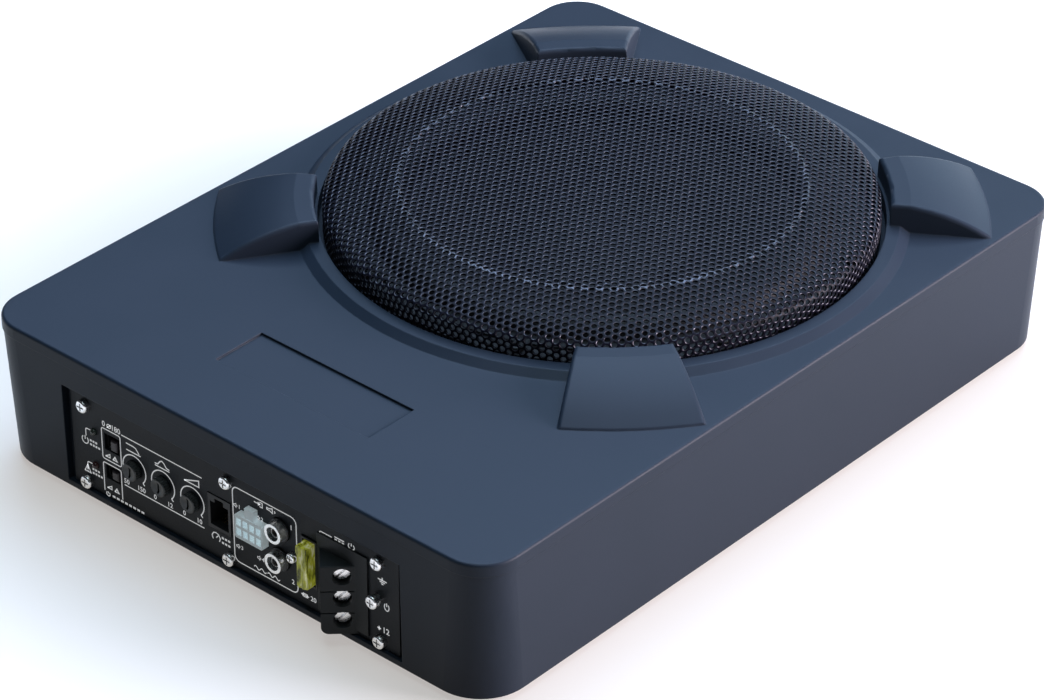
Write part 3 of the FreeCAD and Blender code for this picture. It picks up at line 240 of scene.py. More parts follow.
def object_place(material, stretch=(1, 1, 1)):
    """The piece's own coordinates, in metres, so that a pattern stays at its real size."""
    place = add_node(material, "ShaderNodeTexCoord").outputs["Object"]
    if tuple(stretch) == (1, 1, 1):
        return place
    mapping = add_node(material, "ShaderNodeMapping", Scale=stretch)
    connect(material, mapping, "Vector", place)
    return mapping.outputs[0]


def noise(material, scale, detail=3, stretch=(1, 1, 1)):
    texture = add_node(material, "ShaderNodeTexNoise", Scale=scale, Detail=detail)
    connect(material, texture, "Vector", object_place(material, stretch))
    return texture.outputs[0]


def spread(material, source, low, high, start=0.3, stop=0.7):
    """Map a pattern's middle range onto low to high."""
    node = add_node(material, "ShaderNodeMapRange")
    for name, value in (("From Min", start), ("From Max", stop), ("To Min", low), ("To Max", high)):
        node.inputs[name].default_value = value
    connect(material, node, "Value", source)
    return node.outputs[0]


def mix_colour(material, factor, first, second):
    """Each colour is a tuple or another node's output; inputs 6 and 7 and output 2 are the colour ones."""
    node = add_node(material, "ShaderNodeMix")
    node.data_type = "RGBA"
    connect(material, node, "Factor", factor)
    for socket, value in ((node.inputs[6], first), (node.inputs[7], second)):
        if isinstance(value, tuple):
            socket.default_value = (*value, 1)
        else:
            material.node_tree.links.new(value, socket)
    return node.outputs[2]


def times(material, first, second):
    node = add_node(material, "ShaderNodeMath")
    node.operation = "MULTIPLY"
    material.node_tree.links.new(first, node.inputs[0])
    if isinstance(second, (int, float)):
        node.inputs[1].default_value = second
    else:
        material.node_tree.links.new(second, node.inputs[1])
    return node.outputs[0]


def rounded_normal(material, radius):
    node = add_node(material, "ShaderNodeBevel", Radius=radius)
    node.samples = 4
    return node.outputs[0]


def edge_mask(material, radius):
    """White along the edges, where a part is handled and rubbed."""
    dot = add_node(material, "ShaderNodeVectorMath")
    dot.operation = "DOT_PRODUCT"
    material.node_tree.links.new(rounded_normal(material, radius), dot.inputs[0])
    flat = add_node(material, "ShaderNodeNewGeometry").outputs["Normal"]
    material.node_tree.links.new(flat, dot.inputs[1])
    return spread(material, dot.outputs["Value"], 1.0, 0.0, 0.80, 0.99)


def bump(material, height, distance, strength=1.0, under=None):
    node = add_node(material, "ShaderNodeBump", Strength=strength, Distance=distance)
    connect(material, node, "Height", height)
    if under is not None:
        connect(material, node, "Normal", under)
    return node.outputs[0]


def surface(name, colour, other, roughness, play=0.08, metallic=0.0, specular=0.5, patch=35.0, grain=1800.0,
            depth=0.00002, worn=None, edge=0.0005, stretch=(1, 1, 1), glow=0.0):
    """A moulded, painted or metal surface: uneven colour and gloss, a fine grain and worn edges, and with
    glow a painted glow in its other colour, though it is no lamp.
    """
    material, shader = new_material(name)
    uneven = noise(material, patch, 4, stretch)
    tone = mix_colour(material, spread(material, uneven, 0.0, 1.0), colour, other)
    fine = noise(material, grain, 2, stretch)
    if worn is not None:
        patchy = spread(material, noise(material, 220, 3), 0.0, 1.0)
        rubbed = times(material, edge_mask(material, edge), patchy)
        tone = mix_colour(material, rubbed, tone, worn)
    connect(material, shader, "Base Color", tone)
    both = add_node(material, "ShaderNodeMath")
    both.operation = "ADD"
    material.node_tree.links.new(times(material, uneven, 0.6), both.inputs[0])
    material.node_tree.links.new(times(material, fine, 0.4), both.inputs[1])
    gloss = spread(material, both.outputs[0], roughness - play, roughness + play)
    connect(material, shader, "Roughness", gloss)
    connect(material, shader, "Normal", bump(material, fine, depth, under=rounded_normal(material, edge)))
    shader.inputs["Metallic"].default_value = metallic
    shader.inputs["Specular IOR Level"].default_value = specular
    # painted light: emission in the other colour, as strong as glow
    shader.inputs["Emission Color"].default_value = (*other, 1)
    shader.inputs["Emission Strength"].default_value = glow
    return material


def clear_plastic(name, colour, other, roughness, clearness, wave, depth):
    """Tinted see-through plastic with the ripples of its moulding."""
    material, shader = new_material(name)
    ripple = noise(material, wave, 2, (1.0, 1.4, 0.45))
    tone = mix_colour(material, spread(material, ripple, 0, 1), colour, other)
    gloss = spread(material, noise(material, 900), roughness, roughness + 0.15)
    connect(material, shader, "Base Color", tone)
    connect(material, shader, "Roughness", gloss)
    connect(material, shader, "Normal", bump(material, ripple, depth))
    shader.inputs["Transmission Weight"].default_value = clearness
    shader.inputs["IOR"].default_value = 1.49
    return material


def rippled_tint(name):
    """Yellow see-through plastic with upright ripples, whose colour holds painted shade and painted
    highlights along the streaks, and which glows a little, though it is no lamp.
    """
    material, shader = new_material(name)
    streaks = noise(material, 520, 3, (1.0, 1.0, 0.28))
    # painted shade on the ripples' dark streaks and near-white painted highlights on their bright ones
    painted_shade = spread(material, streaks, 0, 1, 0.36, 0.52)
    painted_highlight = spread(material, streaks, 0, 1, 0.55, 0.66)
    tinted = mix_colour(material, painted_shade, (0.09, 0.10, 0.01), (0.60, 0.62, 0.07))
    tone = mix_colour(material, painted_highlight, tinted, (0.98, 0.98, 0.62))
    connect(material, shader, "Base Color", tone)
    connect(material, shader, "Roughness", spread(material, noise(material, 900), 0.08, 0.22))
    connect(material, shader, "Normal", bump(material, streaks, 0.0007))
    shader.inputs["Transmission Weight"].default_value = 0.25
    shader.inputs["IOR"].default_value = 1.49
    # painted light: the fuse glows a little in its own colour
    connect(material, shader, "Emission Color", tone)
    shader.inputs["Emission Strength"].default_value = 0.17
    return material


def wound_wire(name, colour, other, pitch):
    """Enamelled wire laid turn by turn around the woofer's axis or a ring."""
    material, shader = new_material(name)
    turns = add_node(material, "ShaderNodeTexWave", Scale=1 / pitch, Distortion=0.4, Detail=1.0)
    turns.bands_direction = "Z"
    connect(material, turns, "Vector", object_place(material))
    connect(material, shader, "Base Color", mix_colour(material, turns.outputs[1], colour, other))
    connect(material, shader, "Roughness", spread(material, noise(material, 400), 0.25, 0.4))
    connect(material, shader, "Normal", bump(material, turns.outputs[1], 0.0002))
    shader.inputs["Metallic"].default_value = 0.8
    return material


def woven(name, colour, other, thread):
    """Treated cloth: two sets of crossing threads."""
    material, shader = new_material(name)
    heights = []
    for direction in ("X", "Y"):
        threads = add_node(material, "ShaderNodeTexWave", Scale=1 / thread, Distortion=0.6, Detail=1.0)
        threads.bands_direction = direction
        connect(material, threads, "Vector", object_place(material))
        heights.append(threads.outputs[1])
    cross = times(material, heights[0], heights[1])
    connect(material, shader, "Base Color", mix_colour(material, cross, colour, other))
    connect(material, shader, "Roughness", spread(material, noise(material, 500), 0.7, 0.9))
    connect(material, shader, "Normal", bump(material, cross, 0.0002))
    shader.inputs["Sheen Weight"].default_value = 0.3
    return material


def printed_board(name):
    """Green solder mask over fine copper tracks."""
    material, shader = new_material(name)
    tracks = add_node(material, "ShaderNodeTexBrick", Scale=180.0)
    connect(material, tracks, "Vector", object_place(material))
    lines = tracks.outputs["Fac"]
    tone = mix_colour(material, lines, (0.008, 0.09, 0.03), (0.02, 0.17, 0.06))
    connect(material, shader, "Base Color", tone)
    connect(material, shader, "Roughness", spread(material, noise(material, 150), 0.25, 0.45))
    connect(material, shader, "Normal", bump(material, lines, 0.00004))
    return material


def make_materials():
    """One material for each material slot of the record."""
    near_black, black = (0.012, 0.013, 0.015), (0.02, 0.021, 0.024)
    made = {}

    def keep(maker, name, *looks, **more_looks):
        made[name] = maker(name, *looks, **more_looks)

    keep(surface, "shell_plastic", (0.0175, 0.026, 0.040), (0.0205, 0.029, 0.044), 0.42, 0.05,
         specular=0.14, worn=(0.05, 0.06, 0.08), edge=0.0007, depth=0.000012)
    keep(surface, "plate_steel", (0.022, 0.024, 0.028), (0.03, 0.032, 0.036), 0.55, 0.1, specular=0.4,
         worn=(0.2, 0.2, 0.2), grain=1400, depth=0.00006)
    keep(surface, "screw_steel", (0.84, 0.84, 0.84), (0.92, 0.91, 0.90), 0.26, 0.1, 1.0,
         worn=(0.85, 0.85, 0.84), edge=0.0002, patch=300)
    keep(surface, "screw_black", black, (0.05, 0.05, 0.05), 0.38, 0.1, 0.5, worn=(0.3, 0.3, 0.3),
         edge=0.0002)
    keep(surface, "seal_foam", near_black, black, 0.92, 0.05, specular=0.2, grain=900, depth=0.0003)
    keep(surface, "foot_rubber", near_black, (0.03, 0.03, 0.03), 0.78, 0.1, specular=0.3,
         worn=(0.07, 0.07, 0.07), depth=0.00006)
    keep(surface, "grille_steel", (0.004, 0.004, 0.009), (0.007, 0.007, 0.014), 0.38, 0.06, 0.0,
         specular=0.08, grain=1500, depth=0.00002, edge=0.0002)
    keep(surface, "basket_steel", near_black, black, 0.5, 0.1, worn=(0.15, 0.15, 0.15))
    keep(surface, "surround_rubber", near_black, (0.022, 0.022, 0.024), 0.5, 0.12, specular=0.4)
    keep(surface, "cone_pulp", (0.016, 0.016, 0.018), (0.035, 0.035, 0.037), 0.82, 0.08, specular=0.3,
         grain=700, depth=0.00015)
    keep(surface, "cone_cap", near_black, (0.028, 0.028, 0.03), 0.7, 0.1, grain=900, depth=0.0001)
    keep(surface, "coil_former", (0.6, 0.61, 0.62), (0.75, 0.75, 0.75), 0.28, 0.1, 1.0)
    keep(wound_wire, "coil_wire", (0.45, 0.17, 0.06), (0.75, 0.36, 0.16), 0.0016)
    keep(woven, "spider_cloth", (0.24, 0.15, 0.05), (0.42, 0.28, 0.11), 0.0024)
    keep(surface, "motor_steel", (0.42, 0.42, 0.43), (0.55, 0.54, 0.52), 0.33, 0.1, 1.0,
         worn=(0.75, 0.75, 0.75))
    keep(surface, "magnet_ferrite", (0.03, 0.03, 0.032), (0.05, 0.05, 0.054), 0.6, 0.1,
         worn=(0.12, 0.12, 0.12), grain=1000, depth=0.00008)
    keep(surface, "strip_board", (0.12, 0.06, 0.022), (0.18, 0.09, 0.035), 0.5, 0.1, stretch=(1, 6, 1))
    keep(surface, "contact_brass", (0.72, 0.52, 0.2), (0.8, 0.62, 0.3), 0.27, 0.1, 1.0,
         worn=(0.9, 0.75, 0.4), edge=0.0002)
    keep(surface, "contact_tin", (0.62, 0.62, 0.6), (0.75, 0.74, 0.71), 0.3, 0.1, 1.0, edge=0.0002)
    keep(surface, "lead_red", (0.35, 0.012, 0.01), (0.45, 0.02, 0.016), 0.4, 0.1, patch=90)
    keep(surface, "lead_black", near_black, black, 0.4, 0.1, patch=90)
    keep(surface, "connector_white", (0.66, 0.64, 0.56), (0.74, 0.72, 0.64), 0.45, 0.1,
         worn=(0.85, 0.84, 0.78))
    keep(printed_board, "board_glass_epoxy")
    keep(surface, "capacitor_sleeve", (0.01, 0.011, 0.03), (0.016, 0.018, 0.045), 0.3, 0.08,
         stretch=(1, 1, 4))
    keep(wound_wire, "toroid_wire", (0.4, 0.15, 0.05), (0.72, 0.33, 0.14), 0.0022)
    keep(surface, "sink_aluminium", (0.5, 0.5, 0.52), (0.62, 0.62, 0.64), 0.36, 0.1, 1.0,
         worn=(0.8, 0.8, 0.8), stretch=(1, 1, 12), grain=500)
    keep(surface, "part_black", near_black, (0.02, 0.021, 0.024), 0.5, 0.1, specular=0.4,
         worn=(0.06, 0.06, 0.065), edge=0.0003)
    keep(surface, "panel_paint", (0.014, 0.017, 0.021), (0.022, 0.025, 0.03), 0.48, 0.08, specular=0.16,
         worn=(0.12, 0.12, 0.13), edge=0.0003, grain=1100, depth=0.00005)
    keep(surface, "knob_plastic", (0.012, 0.016, 0.017), (0.02, 0.026, 0.027), 0.36, 0.08,
         worn=(0.1, 0.11, 0.11), edge=0.0003)
    keep(surface, "slider_plastic", (0.016, 0.012, 0.016), (0.03, 0.018, 0.024), 0.42, 0.08,
         worn=(0.09, 0.08, 0.09), edge=0.0003)
    keep(clear_plastic, "led_green", (0.10, 0.13, 0.11), (0.16, 0.2, 0.17), 0.1, 0.5, 600, 0.00005)
    keep(clear_plastic, "led_red", (0.16, 0.06, 0.06), (0.24, 0.1, 0.1), 0.1, 0.5, 600, 0.00005)
    # painted light: the connector glows a little in light blue, which lightens its shaded cavities
    keep(surface, "connector_blue", (0.80, 0.93, 0.99), (0.86, 0.97, 1.0), 0.38, 0.1,
         worn=(0.72, 0.82, 0.88), edge=0.0004, patch=200, glow=0.16)
    keep(surface, "jack_nickel", (0.88, 0.88, 0.87), (0.94, 0.93, 0.91), 0.3, 0.08, 1.0,
         worn=(0.9, 0.9, 0.88), edge=0.0003, patch=250)
    keep(surface, "jack_insulator", (0.012, 0.022, 0.022), (0.02, 0.034, 0.034), 0.42, 0.08)
    keep(rippled_tint, "fuse_yellow")
    keep(surface, "block_plastic", (0.020, 0.023, 0.025), (0.028, 0.031, 0.033), 0.5, 0.08,
         specular=0.22, worn=(0.10, 0.10, 0.11), edge=0.0004, grain=1300, depth=0.00005)
    return made


def dress_cad_nodes(materials):
    for part in frame["record"]["subparts"]:
        node = NODES[part["node"]]
        node.data.materials.clear()
        node.data.materials.append(materials[part["material_slot"]])


# ---- The perforated grille ----
def dome_line():
    """The dome's outer line from its middle out and down: (distance along it, radius, height)."""
    dome = NODES["woofer_grille"]
    steps = 200
    clearance = 0.00002
    line = []
    for i in range(steps):
        radius = (GRILLE_R - clearance) * math.sin(math.pi / 2 * i / (steps - 1))
        above = Vector((AXIS.x + radius, AXIS.y, GRILLE_HIGH.z + 0.01))
        place = dome.ray_cast(above, Vector((0, 0, -1)))[1]
        line.append((radius, place.z))
    line.append((GRILLE_R, GRILLE_LOW.z))
    travelled = 0.0
    measured = [(0.0, *line[0])]
    for before, here in zip(line, line[1:]):
        travelled += math.dist(before, here)
        measured.append((travelled, *here))
    return measured


def on_line(line, distance):
    """Radius and height at a distance along the dome's line."""
    distance = min(distance, line[-1][0])
    low, high = 0, len(line) - 1
    while high - low > 1:
        middle = (low + high) // 2
        if line[middle][0] <= distance:
            low = middle
        else:
            high = middle
    share = (distance - line[low][0]) / (line[high][0] - line[low][0])
    return tuple(a + (b - a) * share for a, b in zip(line[low][1:], line[high][1:]))


def dome_place(line, x, y, depth):
    """The flat sheet's point (x, y) pressed onto the dome, depth under its outer face."""
    distance = math.hypot(x, y)
    turn = math.atan2(y, x)
    reach = 0.0012
    radius, height = on_line(line, distance)
    r_in, z_in = on_line(line, max(distance - reach, 0.0))
    r_out, z_out = on_line(line, distance + reach)
    slope = math.hypot(r_out - r_in, z_out - z_in)
    radius -= depth * (z_in - z_out) / slope
    height -= depth * (r_out - r_in) / slope
    height += RIDGE_HEIGHT * max(0.0, 1 - abs(distance - RIDGE_AT) / RIDGE_HALF)
    return (AXIS.x + radius * math.cos(turn), AXIS.y + radius * math.sin(turn), height)


def hole_centres(inner, outer):
    """Places of the holes in the flat sheet, in rows sixty degrees apart."""
    along = Vector((math.cos(ROW_ANGLE), math.sin(ROW_ANGLE))) * HOLE_PITCH
    across = Vector((math.cos(ROW_ANGLE + math.pi / 3), math.sin(ROW_ANGLE + math.pi / 3))) * HOLE_PITCH
    reach = int(outer / HOLE_PITCH * 1.3) + 2
    places = []
    for i in range(-reach, reach + 1):
        for j in range(-reach, reach + 1):
            place = along * i + across * j
            if inner <= place.length < outer:
                places.append(place)
    return places


def perforated_band(name, line, inner, outer):
    """The sheet between two distances from its middle, one six-sided cell for each hole.

    Also returns 1 for each face with a painted highlight, a lighter and glossier metal on the rounded hole
    edges and on the ridge, which also catch real light, and 0 elsewhere.
    """
    points, faces, shared = [], [], {}
    turns = [ROW_ANGLE + 2 * math.pi * k / CELL_STEPS for k in range(CELL_STEPS)]
    reaches = [HOLE_PITCH / 2 if k % 2 == 0 else HOLE_PITCH / math.sqrt(3) for k in range(CELL_STEPS)]
    bore = ((HOLE_R + SHEET_BURR, SHEET_BURR * 0.12), (HOLE_R, SHEET_BURR), (HOLE_R, EDGE_DEPTH),
            (HOLE_R, SHEET_THICKNESS))
    last = len(bore) + 1
    highlight_faces = []
    merge = 0.02 * MM
    past_hole = 1.2

    def add(x, y, depth, share):
        key = (round(x / merge), round(y / merge), depth)
        if share and key in shared:
            return shared[key]
        points.append(dome_place(line, x, y, depth))
        if share:
            shared[key] = len(points) - 1
        return len(points) - 1

    for centre in hole_centres(inner, outer):
        rings = []
        for ring in range(last + 1):
            members = []
            for turn, reach in zip(turns, reaches):
                on_border = ring in (0, last)
                radius = reach if on_border else bore[ring - 1][0]
                depth = (0.0 if ring == 0 else SHEET_THICKNESS) if on_border else bore[ring - 1][1]
                x = centre.x + radius * math.cos(turn)
                y = centre.y + radius * math.sin(turn)
                members.append(add(x, y, depth, on_border))
            rings.append(members)
        for ring, (outside, inside) in enumerate(zip(rings, rings[1:])):
            for k in range(CELL_STEPS):
                after = (k + 1) % CELL_STEPS
                faces.append((outside[k], outside[after], inside[after], inside[k]))
                turn = (turns[k] + turns[k - 1]) / 2
                place = centre + Vector((math.cos(turn), math.sin(turn))) * HOLE_R * past_hole
                on_ridge = ring == 0 and abs(place.length - RIDGE_AT) < RIDGE_HALF
                highlight_faces.append(1 if ring in (1, 2) or on_ridge else 0)
    return mesh_piece(name, points, faces, smooth=True), highlight_faces


def rim_band(name, line, start):
    """The plain folded edge of the grille, down in its recess."""
    around = 180
    steps = 3
    face_depth, back_depth = 0.0003, 0.0012
    stop = line[-1][0]
    rows = [(start + (stop - start) * i / steps, face_depth) for i in range(steps + 1)]
    rows += [(distance, back_depth) for distance, _ in reversed(rows)]
    points, faces = [], []
    for distance, depth in rows:
        for k in range(around):
            turn = 2 * math.pi * k / around
            points.append(dome_place(line, distance * math.cos(turn), distance * math.sin(turn), depth))
    for row in range(len(rows)):
        under = (row + 1) % len(rows)
        for k in range(around):
            after = (k + 1) % around
            faces.append((row * around + k, row * around + after,
                          under * around + after, under * around + k))
    return mesh_piece(name, points, faces, smooth=True)


def make_grille(materials):
    line = dome_line()
    steel = materials["grille_steel"]
    # painted highlight: lighter, glossier metal for the hole edges and the ridge
    edge_highlight_metal = surface("grille_edge_highlight", (0.05, 0.05, 0.062), (0.08, 0.08, 0.094), 0.3, 0.08, 0.75, patch=250,
                   depth=0.00001, edge=0.0001)
    for number, (inner, outer) in enumerate(zip(GRILLE_BANDS, GRILLE_BANDS[1:])):
        stop = min(outer, line[-1][0] - RIM_GAP)
        band, highlight_faces = perforated_band("grille_band_%d" % number, line, inner, stop)
        finish_piece(band, "root", steel, "grille_steel", "woofer_grille")
        band.data.materials.append(edge_highlight_metal)
        band.data.polygons.foreach_set("material_index", highlight_faces)
    rim = rim_band("grille_rim", line, line[-1][0] - RIM_WIDTH)
    finish_piece(rim, "root", steel, "grille_steel", "woofer_grille")


# ---- The soft parts that bend between the basket and the cone ----
def turned_piece(name, outline, around=144):
    """A closed outline of (radius, height) points turned about the woofer's axis."""
    points, faces = [], []
    for k in range(around):
        turn = 2 * math.pi * k / around
        for radius, height in outline:
            points.append((AXIS.x + radius * math.cos(turn), AXIS.y + radius * math.sin(turn), height))
    count = len(outline)
    for k in range(around):
        after = (k + 1) % around
        for i in range(count):
            j = (i + 1) % count
            faces.append((k * count + i, after * count + i, after * count + j, k * count + j))
    return mesh_piece(name, points, faces, smooth=True)


def bend_with_cone(piece):
    """Bakes the piece's placement into its mesh."""
    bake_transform(piece)


def make_surround(materials):
    low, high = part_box("woofer_surround")
    outer_r = (high.x - low.x) / 2
    skin = 0.0008
    flange = 0.0003
    to_middle = 0.0133
    inner_flat = 0.0044
    under_lift = 0.0002
    roll_r = high.z - low.z - skin
    middle_r = outer_r - to_middle
    outline = [(outer_r, low.z + skin)]
    steps = 14
    for i in range(steps + 1):
        turn = math.pi * i / steps
        outline.append((middle_r + roll_r * math.cos(turn), low.z + skin + roll_r * math.sin(turn)))
    inner_r = middle_r - roll_r - inner_flat
    outline.append((inner_r, low.z + skin + flange))
    outline.append((inner_r, low.z + flange))
    for i in range(steps + 1):
        turn = math.pi * (1 - i / steps)
        inside = roll_r - skin
        outline.append((middle_r + inside * math.cos(turn), low.z + under_lift + roll_r * math.sin(turn)))
    outline.append((outer_r, low.z))
    piece = turned_piece("surround_roll", outline)
    piece.data.materials.append(materials["surround_rubber"])
    bend_with_cone(piece)
    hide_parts("woofer_surround")


def make_spider(materials):
    low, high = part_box("spider")
    outer_r = (high.x - low.x) / 2
    inner_r = 0.0256
    wave_r = 0.0555
    rim_r = 0.0572
    middle = low.z + 0.0012
    rim_top = low.z + 0.0005
    skin = 0.0004
    steps = 60
    waves = 6
    wave_height = 0.0008
    top = []
    for i in range(steps + 1):
        share = i / steps
        wave = wave_height * math.sin(2 * math.pi * waves * share)
        top.append((inner_r + (wave_r - inner_r) * share, middle + wave))
    top += [(rim_r, rim_top), (outer_r, rim_top)]
    outline = top + [(radius, height - skin) for radius, height in reversed(top)]
    piece = turned_piece("spider_disc", outline, 96)
    piece.data.materials.append(materials["spider_cloth"])
    bend_with_cone(piece)
    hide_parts("spider")


# ---- Controls ----
def fluted_knob(name, node, body, material):
    """A trimmer's knob: fluted round its side, dished in front and slotted for a screwdriver."""
    low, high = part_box(node)
    centre = (low + high) / 2
    knob_r = (high.y - low.y) / 2
    front = low.x
    back = front + 0.0028
    stem_r = 0.0029
    flutes, around = 20, 160
    flute_depth = 0.00022
    # each row: radius, depth behind the front, how far the flutes cut in
    rows = [(0.0, 0.0006, 0), (0.0016, 0.0006, 0), (0.0024, 0.0001, 0), (knob_r - 0.0006, 0.0, 0),
            (knob_r - 0.00015, 0.0003, 0.5), (knob_r, 0.0008, 1), (knob_r, back - front, 1),
            (stem_r, back - front, 0), (stem_r, high.x - front, 0), (0.0, high.x - front, 0)]
    drawn = bmesh.new()
    rings = []
    for radius, depth, fluted in rows:
        if radius == 0.0:
            rings.append([drawn.verts.new((front + depth, centre.y, centre.z))])
            continue
        ring = []
        for k in range(around):
            turn = 2 * math.pi * k / around
            groove = flute_depth * fluted * (0.5 + 0.5 * math.cos(flutes * turn)) ** 3
            reach = radius - groove
            ring.append(drawn.verts.new((front + depth, centre.y + reach * math.cos(turn),
                                         centre.z + reach * math.sin(turn))))
        rings.append(ring)
    for outside, inside in zip(rings, rings[1:]):
        for k in range(around):
            after = (k + 1) % around
            if len(outside) == 1:
                drawn.faces.new((outside[0], inside[k], inside[after]))
            elif len(inside) == 1:
                drawn.faces.new((outside[k], outside[after], inside[0]))
            else:
                drawn.faces.new((outside[k], outside[after], inside[after], inside[k]))
    knob = from_bmesh(name, drawn)
    slot = bmesh.new()
    bmesh.ops.create_cube(slot, size=1.0)
    slot_size = (0.0026, 0.0009, 0.0048)
    bmesh.ops.scale(slot, vec=slot_size, verts=slot.verts)
    bmesh.ops.translate(slot, vec=(front, centre.y, centre.z), verts=slot.verts)
    cutter = from_bmesh(name + "_cutter", slot, smooth=False)
    cut = knob.modifiers.new("slot", "BOOLEAN")
    cut.object = cutter
    cut.solver = "EXACT"
    keep_modified(knob)
    bpy.data.objects.remove(cutter)
    smooth_by_angle(knob, 35)
    finish_piece(knob, body, material, "knob_plastic", node)


def make_fuse(materials):
    """A blade fuse: a tinted see-through body with a rippled skin, and the metal link that shows inside."""
    low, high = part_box("blade_fuse")
    size = high - low
    centre = (low + high) / 2
    drawn = bmesh.new()
    bmesh.ops.create_cube(drawn, size=1.0)
    bmesh.ops.subdivide_edges(drawn, edges=drawn.edges, cuts=22, use_grid_fill=True)
    drawn.normal_update()
    inset, ripple_depth, waist_depth = 0.00045, 0.00055, 0.0005
    # the cube runs from -0.5 to 0.5: its edges and corners are rounded, its skin ripples most in front,
    # and its sides go in around the middle of its height
    for vertex in drawn.verts:
        place = vertex.co.copy()
        normal = vertex.normal.copy()
        corner = max(abs(place.x), abs(place.y)) + max(0.0, abs(place.z) - 0.44)
        rounding = 0.25 * max(0.0, abs(place.x) + abs(place.y) - 0.82) + 0.3 * max(0.0, corner - 0.50)
        streak = Vector((place.x * 7, place.y * 5, place.z * 2.6))
        ripple = noise_at(streak) + 0.5 * noise_at(streak * 2.3)
        ripple *= min(1.0, max(0.0, 0.5 - place.x) * 1.6)
        waist = waist_depth * max(0.0, 1 - (place.z / 0.26) ** 2) * (1 if abs(normal.y) > 0.5 else 0)
        vertex.co = centre + Vector(place[i] * size[i] * (1 - rounding) for i in range(3))
        vertex.co -= normal * (inset + ripple_depth * ripple + waist)
    body = from_bmesh("fuse_body", drawn)
    finish_piece(body, "fuse", materials["fuse_yellow"], "fuse_yellow", "blade_fuse")
    link = bpy.data.curves.new("fuse_link", "CURVE")
    link.dimensions = "3D"
    link.extrude = 0.0009
    link.bevel_depth = 0.0002
    line = link.splines.new("BEZIER")
    blades = size.z * 0.32
    route = ((0.30, -1.0), (-0.18, -0.55), (-0.22, 0.0), (0.05, 0.1), (-0.2, 0.55), (0.30, 1.0))
    line.bezier_points.add(len(route) - 1)
    for point, (depth, rise) in zip(line.bezier_points, route):
        point.co = (centre.x + depth * size.x, centre.y, centre.z + rise * blades)
        point.handle_left_type = "AUTO"
        point.handle_right_type = "AUTO"
    strip = bpy.data.objects.new("fuse_link", link)
    bpy.context.scene.collection.objects.link(strip)
    finish_piece(strip, "fuse", materials["contact_tin"], "contact_tin")


# ---- Print on the panel ----
class PanelPrint:
    """Collects flat white strokes on the panel's face, given in millimetres as (y, z) points."""

    def __init__(self):
        self.points = []
        self.faces = []

    def stroke(self, route, width=ICON_LINE, closed=False):
        """A line of even width through the points, slightly raised as ink is."""
        places = [Vector(p) for p in route]
        count = len(places)
        base = len(self.points)
        for i, here in enumerate(places):
            before = places[i - 1] if i > 0 or closed else None
            after = places[(i + 1) % count] if i < count - 1 or closed else None
            arriving = (here - before).normalized() if before is not None else None
            leaving = (after - here).normalized() if after is not None else None
            along = ((arriving or leaving) + (leaving or arriving)).normalized()
            side = Vector((-along.y, along.x))
            square = side.dot(Vector((-(leaving or arriving).y, (leaving or arriving).x)))
            reach = width / 2 / max(square, 0.5)
            for sign in (1, -1):
                edge = here + side * reach * sign
                for raise_by in (0.0, PRINT_RAISE):
                    self.points.append((PANEL_X - raise_by, edge.x * MM, edge.y * MM))
        last = count if closed else count - 1
        for i in range(last):
            a = base + 4 * i
            b = base + 4 * ((i + 1) % count)
            self.faces += [(a + 1, b + 1, b + 3, a + 3), (a, b, b + 1, a + 1), (a + 2, a + 3, b + 3, b + 2),
                           (a, a + 2, b + 2, b)]
        if not closed:
            end = base + 4 * (count - 1)
            self.faces += [(base, base + 1, base + 3, base + 2), (end, end + 2, end + 3, end + 1)]

    def arc(self, centre, radius, start, stop, width):
        """Angles in degrees, 0 to the right as seen from in front and 90 up, with a point every 9."""
        steps = int(abs(stop - start) / 9)
        turns = [math.radians(start + (stop - start) * i / steps) for i in range(steps + 1)]
        route = [(centre[0] - radius * math.cos(t), centre[1] + radius * math.sin(t)) for t in turns]
        self.stroke(route, width)

    def rounded(self, y, z, radius):
        """A frame with round corners. y and z are (low, high) pairs."""
        route = []
        for order, (high_y, high_z) in enumerate(((1, 1), (0, 1), (0, 0), (1, 0))):
            centre_y = y[high_y] + (-radius if high_y else radius)
            centre_z = z[high_z] + (-radius if high_z else radius)
            for step in range(5):
                turn = math.radians(90 * order + 90 * step / 4)
                route.append((centre_y + radius * math.cos(turn), centre_z + radius * math.sin(turn)))
        self.stroke(route, FRAME_LINE, closed=True)

    def icon(self, centre, size, strokes, width=ICON_LINE):
        """Strokes in a box from -1 to 1 each way, drawn size (across, up) millimetres from the centre."""
        for route in strokes:
            places = [(centre[0] - x * size[0], centre[1] + y * size[1]) for x, y in route]
            self.stroke(places, width)

    def bars(self, start, count, length):
        """A row of short thick dashes going right from start."""
        for step in range(count):
            y = start[0] - step * length * 1.5
            self.stroke([(y, start[1]), (y - length, start[1])], BAR_LINE)

    def number(self, text, centre, height):
        """Digits, a little thicker than the typeface draws them."""
        letters = bpy.data.curves.new("number", "FONT")
        letters.body = text
        letters.size = height * 1.5
        letters.offset = height * 0.03
        letters.align_x = "CENTER"
        letters.align_y = "CENTER"
        letters.resolution_u = 3
        drawn = bpy.data.objects.new("number", letters)
        mesh = bpy.data.meshes.new_from_object(drawn)
        base = len(self.points)
        for vertex in mesh.vertices:
            y = centre[0] - vertex.co.x
            z = centre[1] + vertex.co.y
            self.points.append((PANEL_X - PRINT_RAISE, y * MM, z * MM))
        self.faces += [tuple(base + v for v in reversed(face.vertices)) for face in mesh.polygons]
        bpy.data.objects.remove(drawn)
        bpy.data.meshes.remove(mesh)

    def build(self, name, material):
        piece = mesh_piece(name, self.points, self.faces)
        finish_piece(piece, "root", material, "panel_paint")


def circle_route(steps, radius):
    turns = [2 * math.pi * i / steps for i in range(steps + 1)]
    return [(radius * math.cos(t), radius * math.sin(t)) for t in turns]


def icon_power():
    open_ring = [(math.sin(math.radians(a)), math.cos(math.radians(a))) for a in range(40, 330, 20)]
    return [open_ring, [(0, 0.15), (0, 1.1)]]


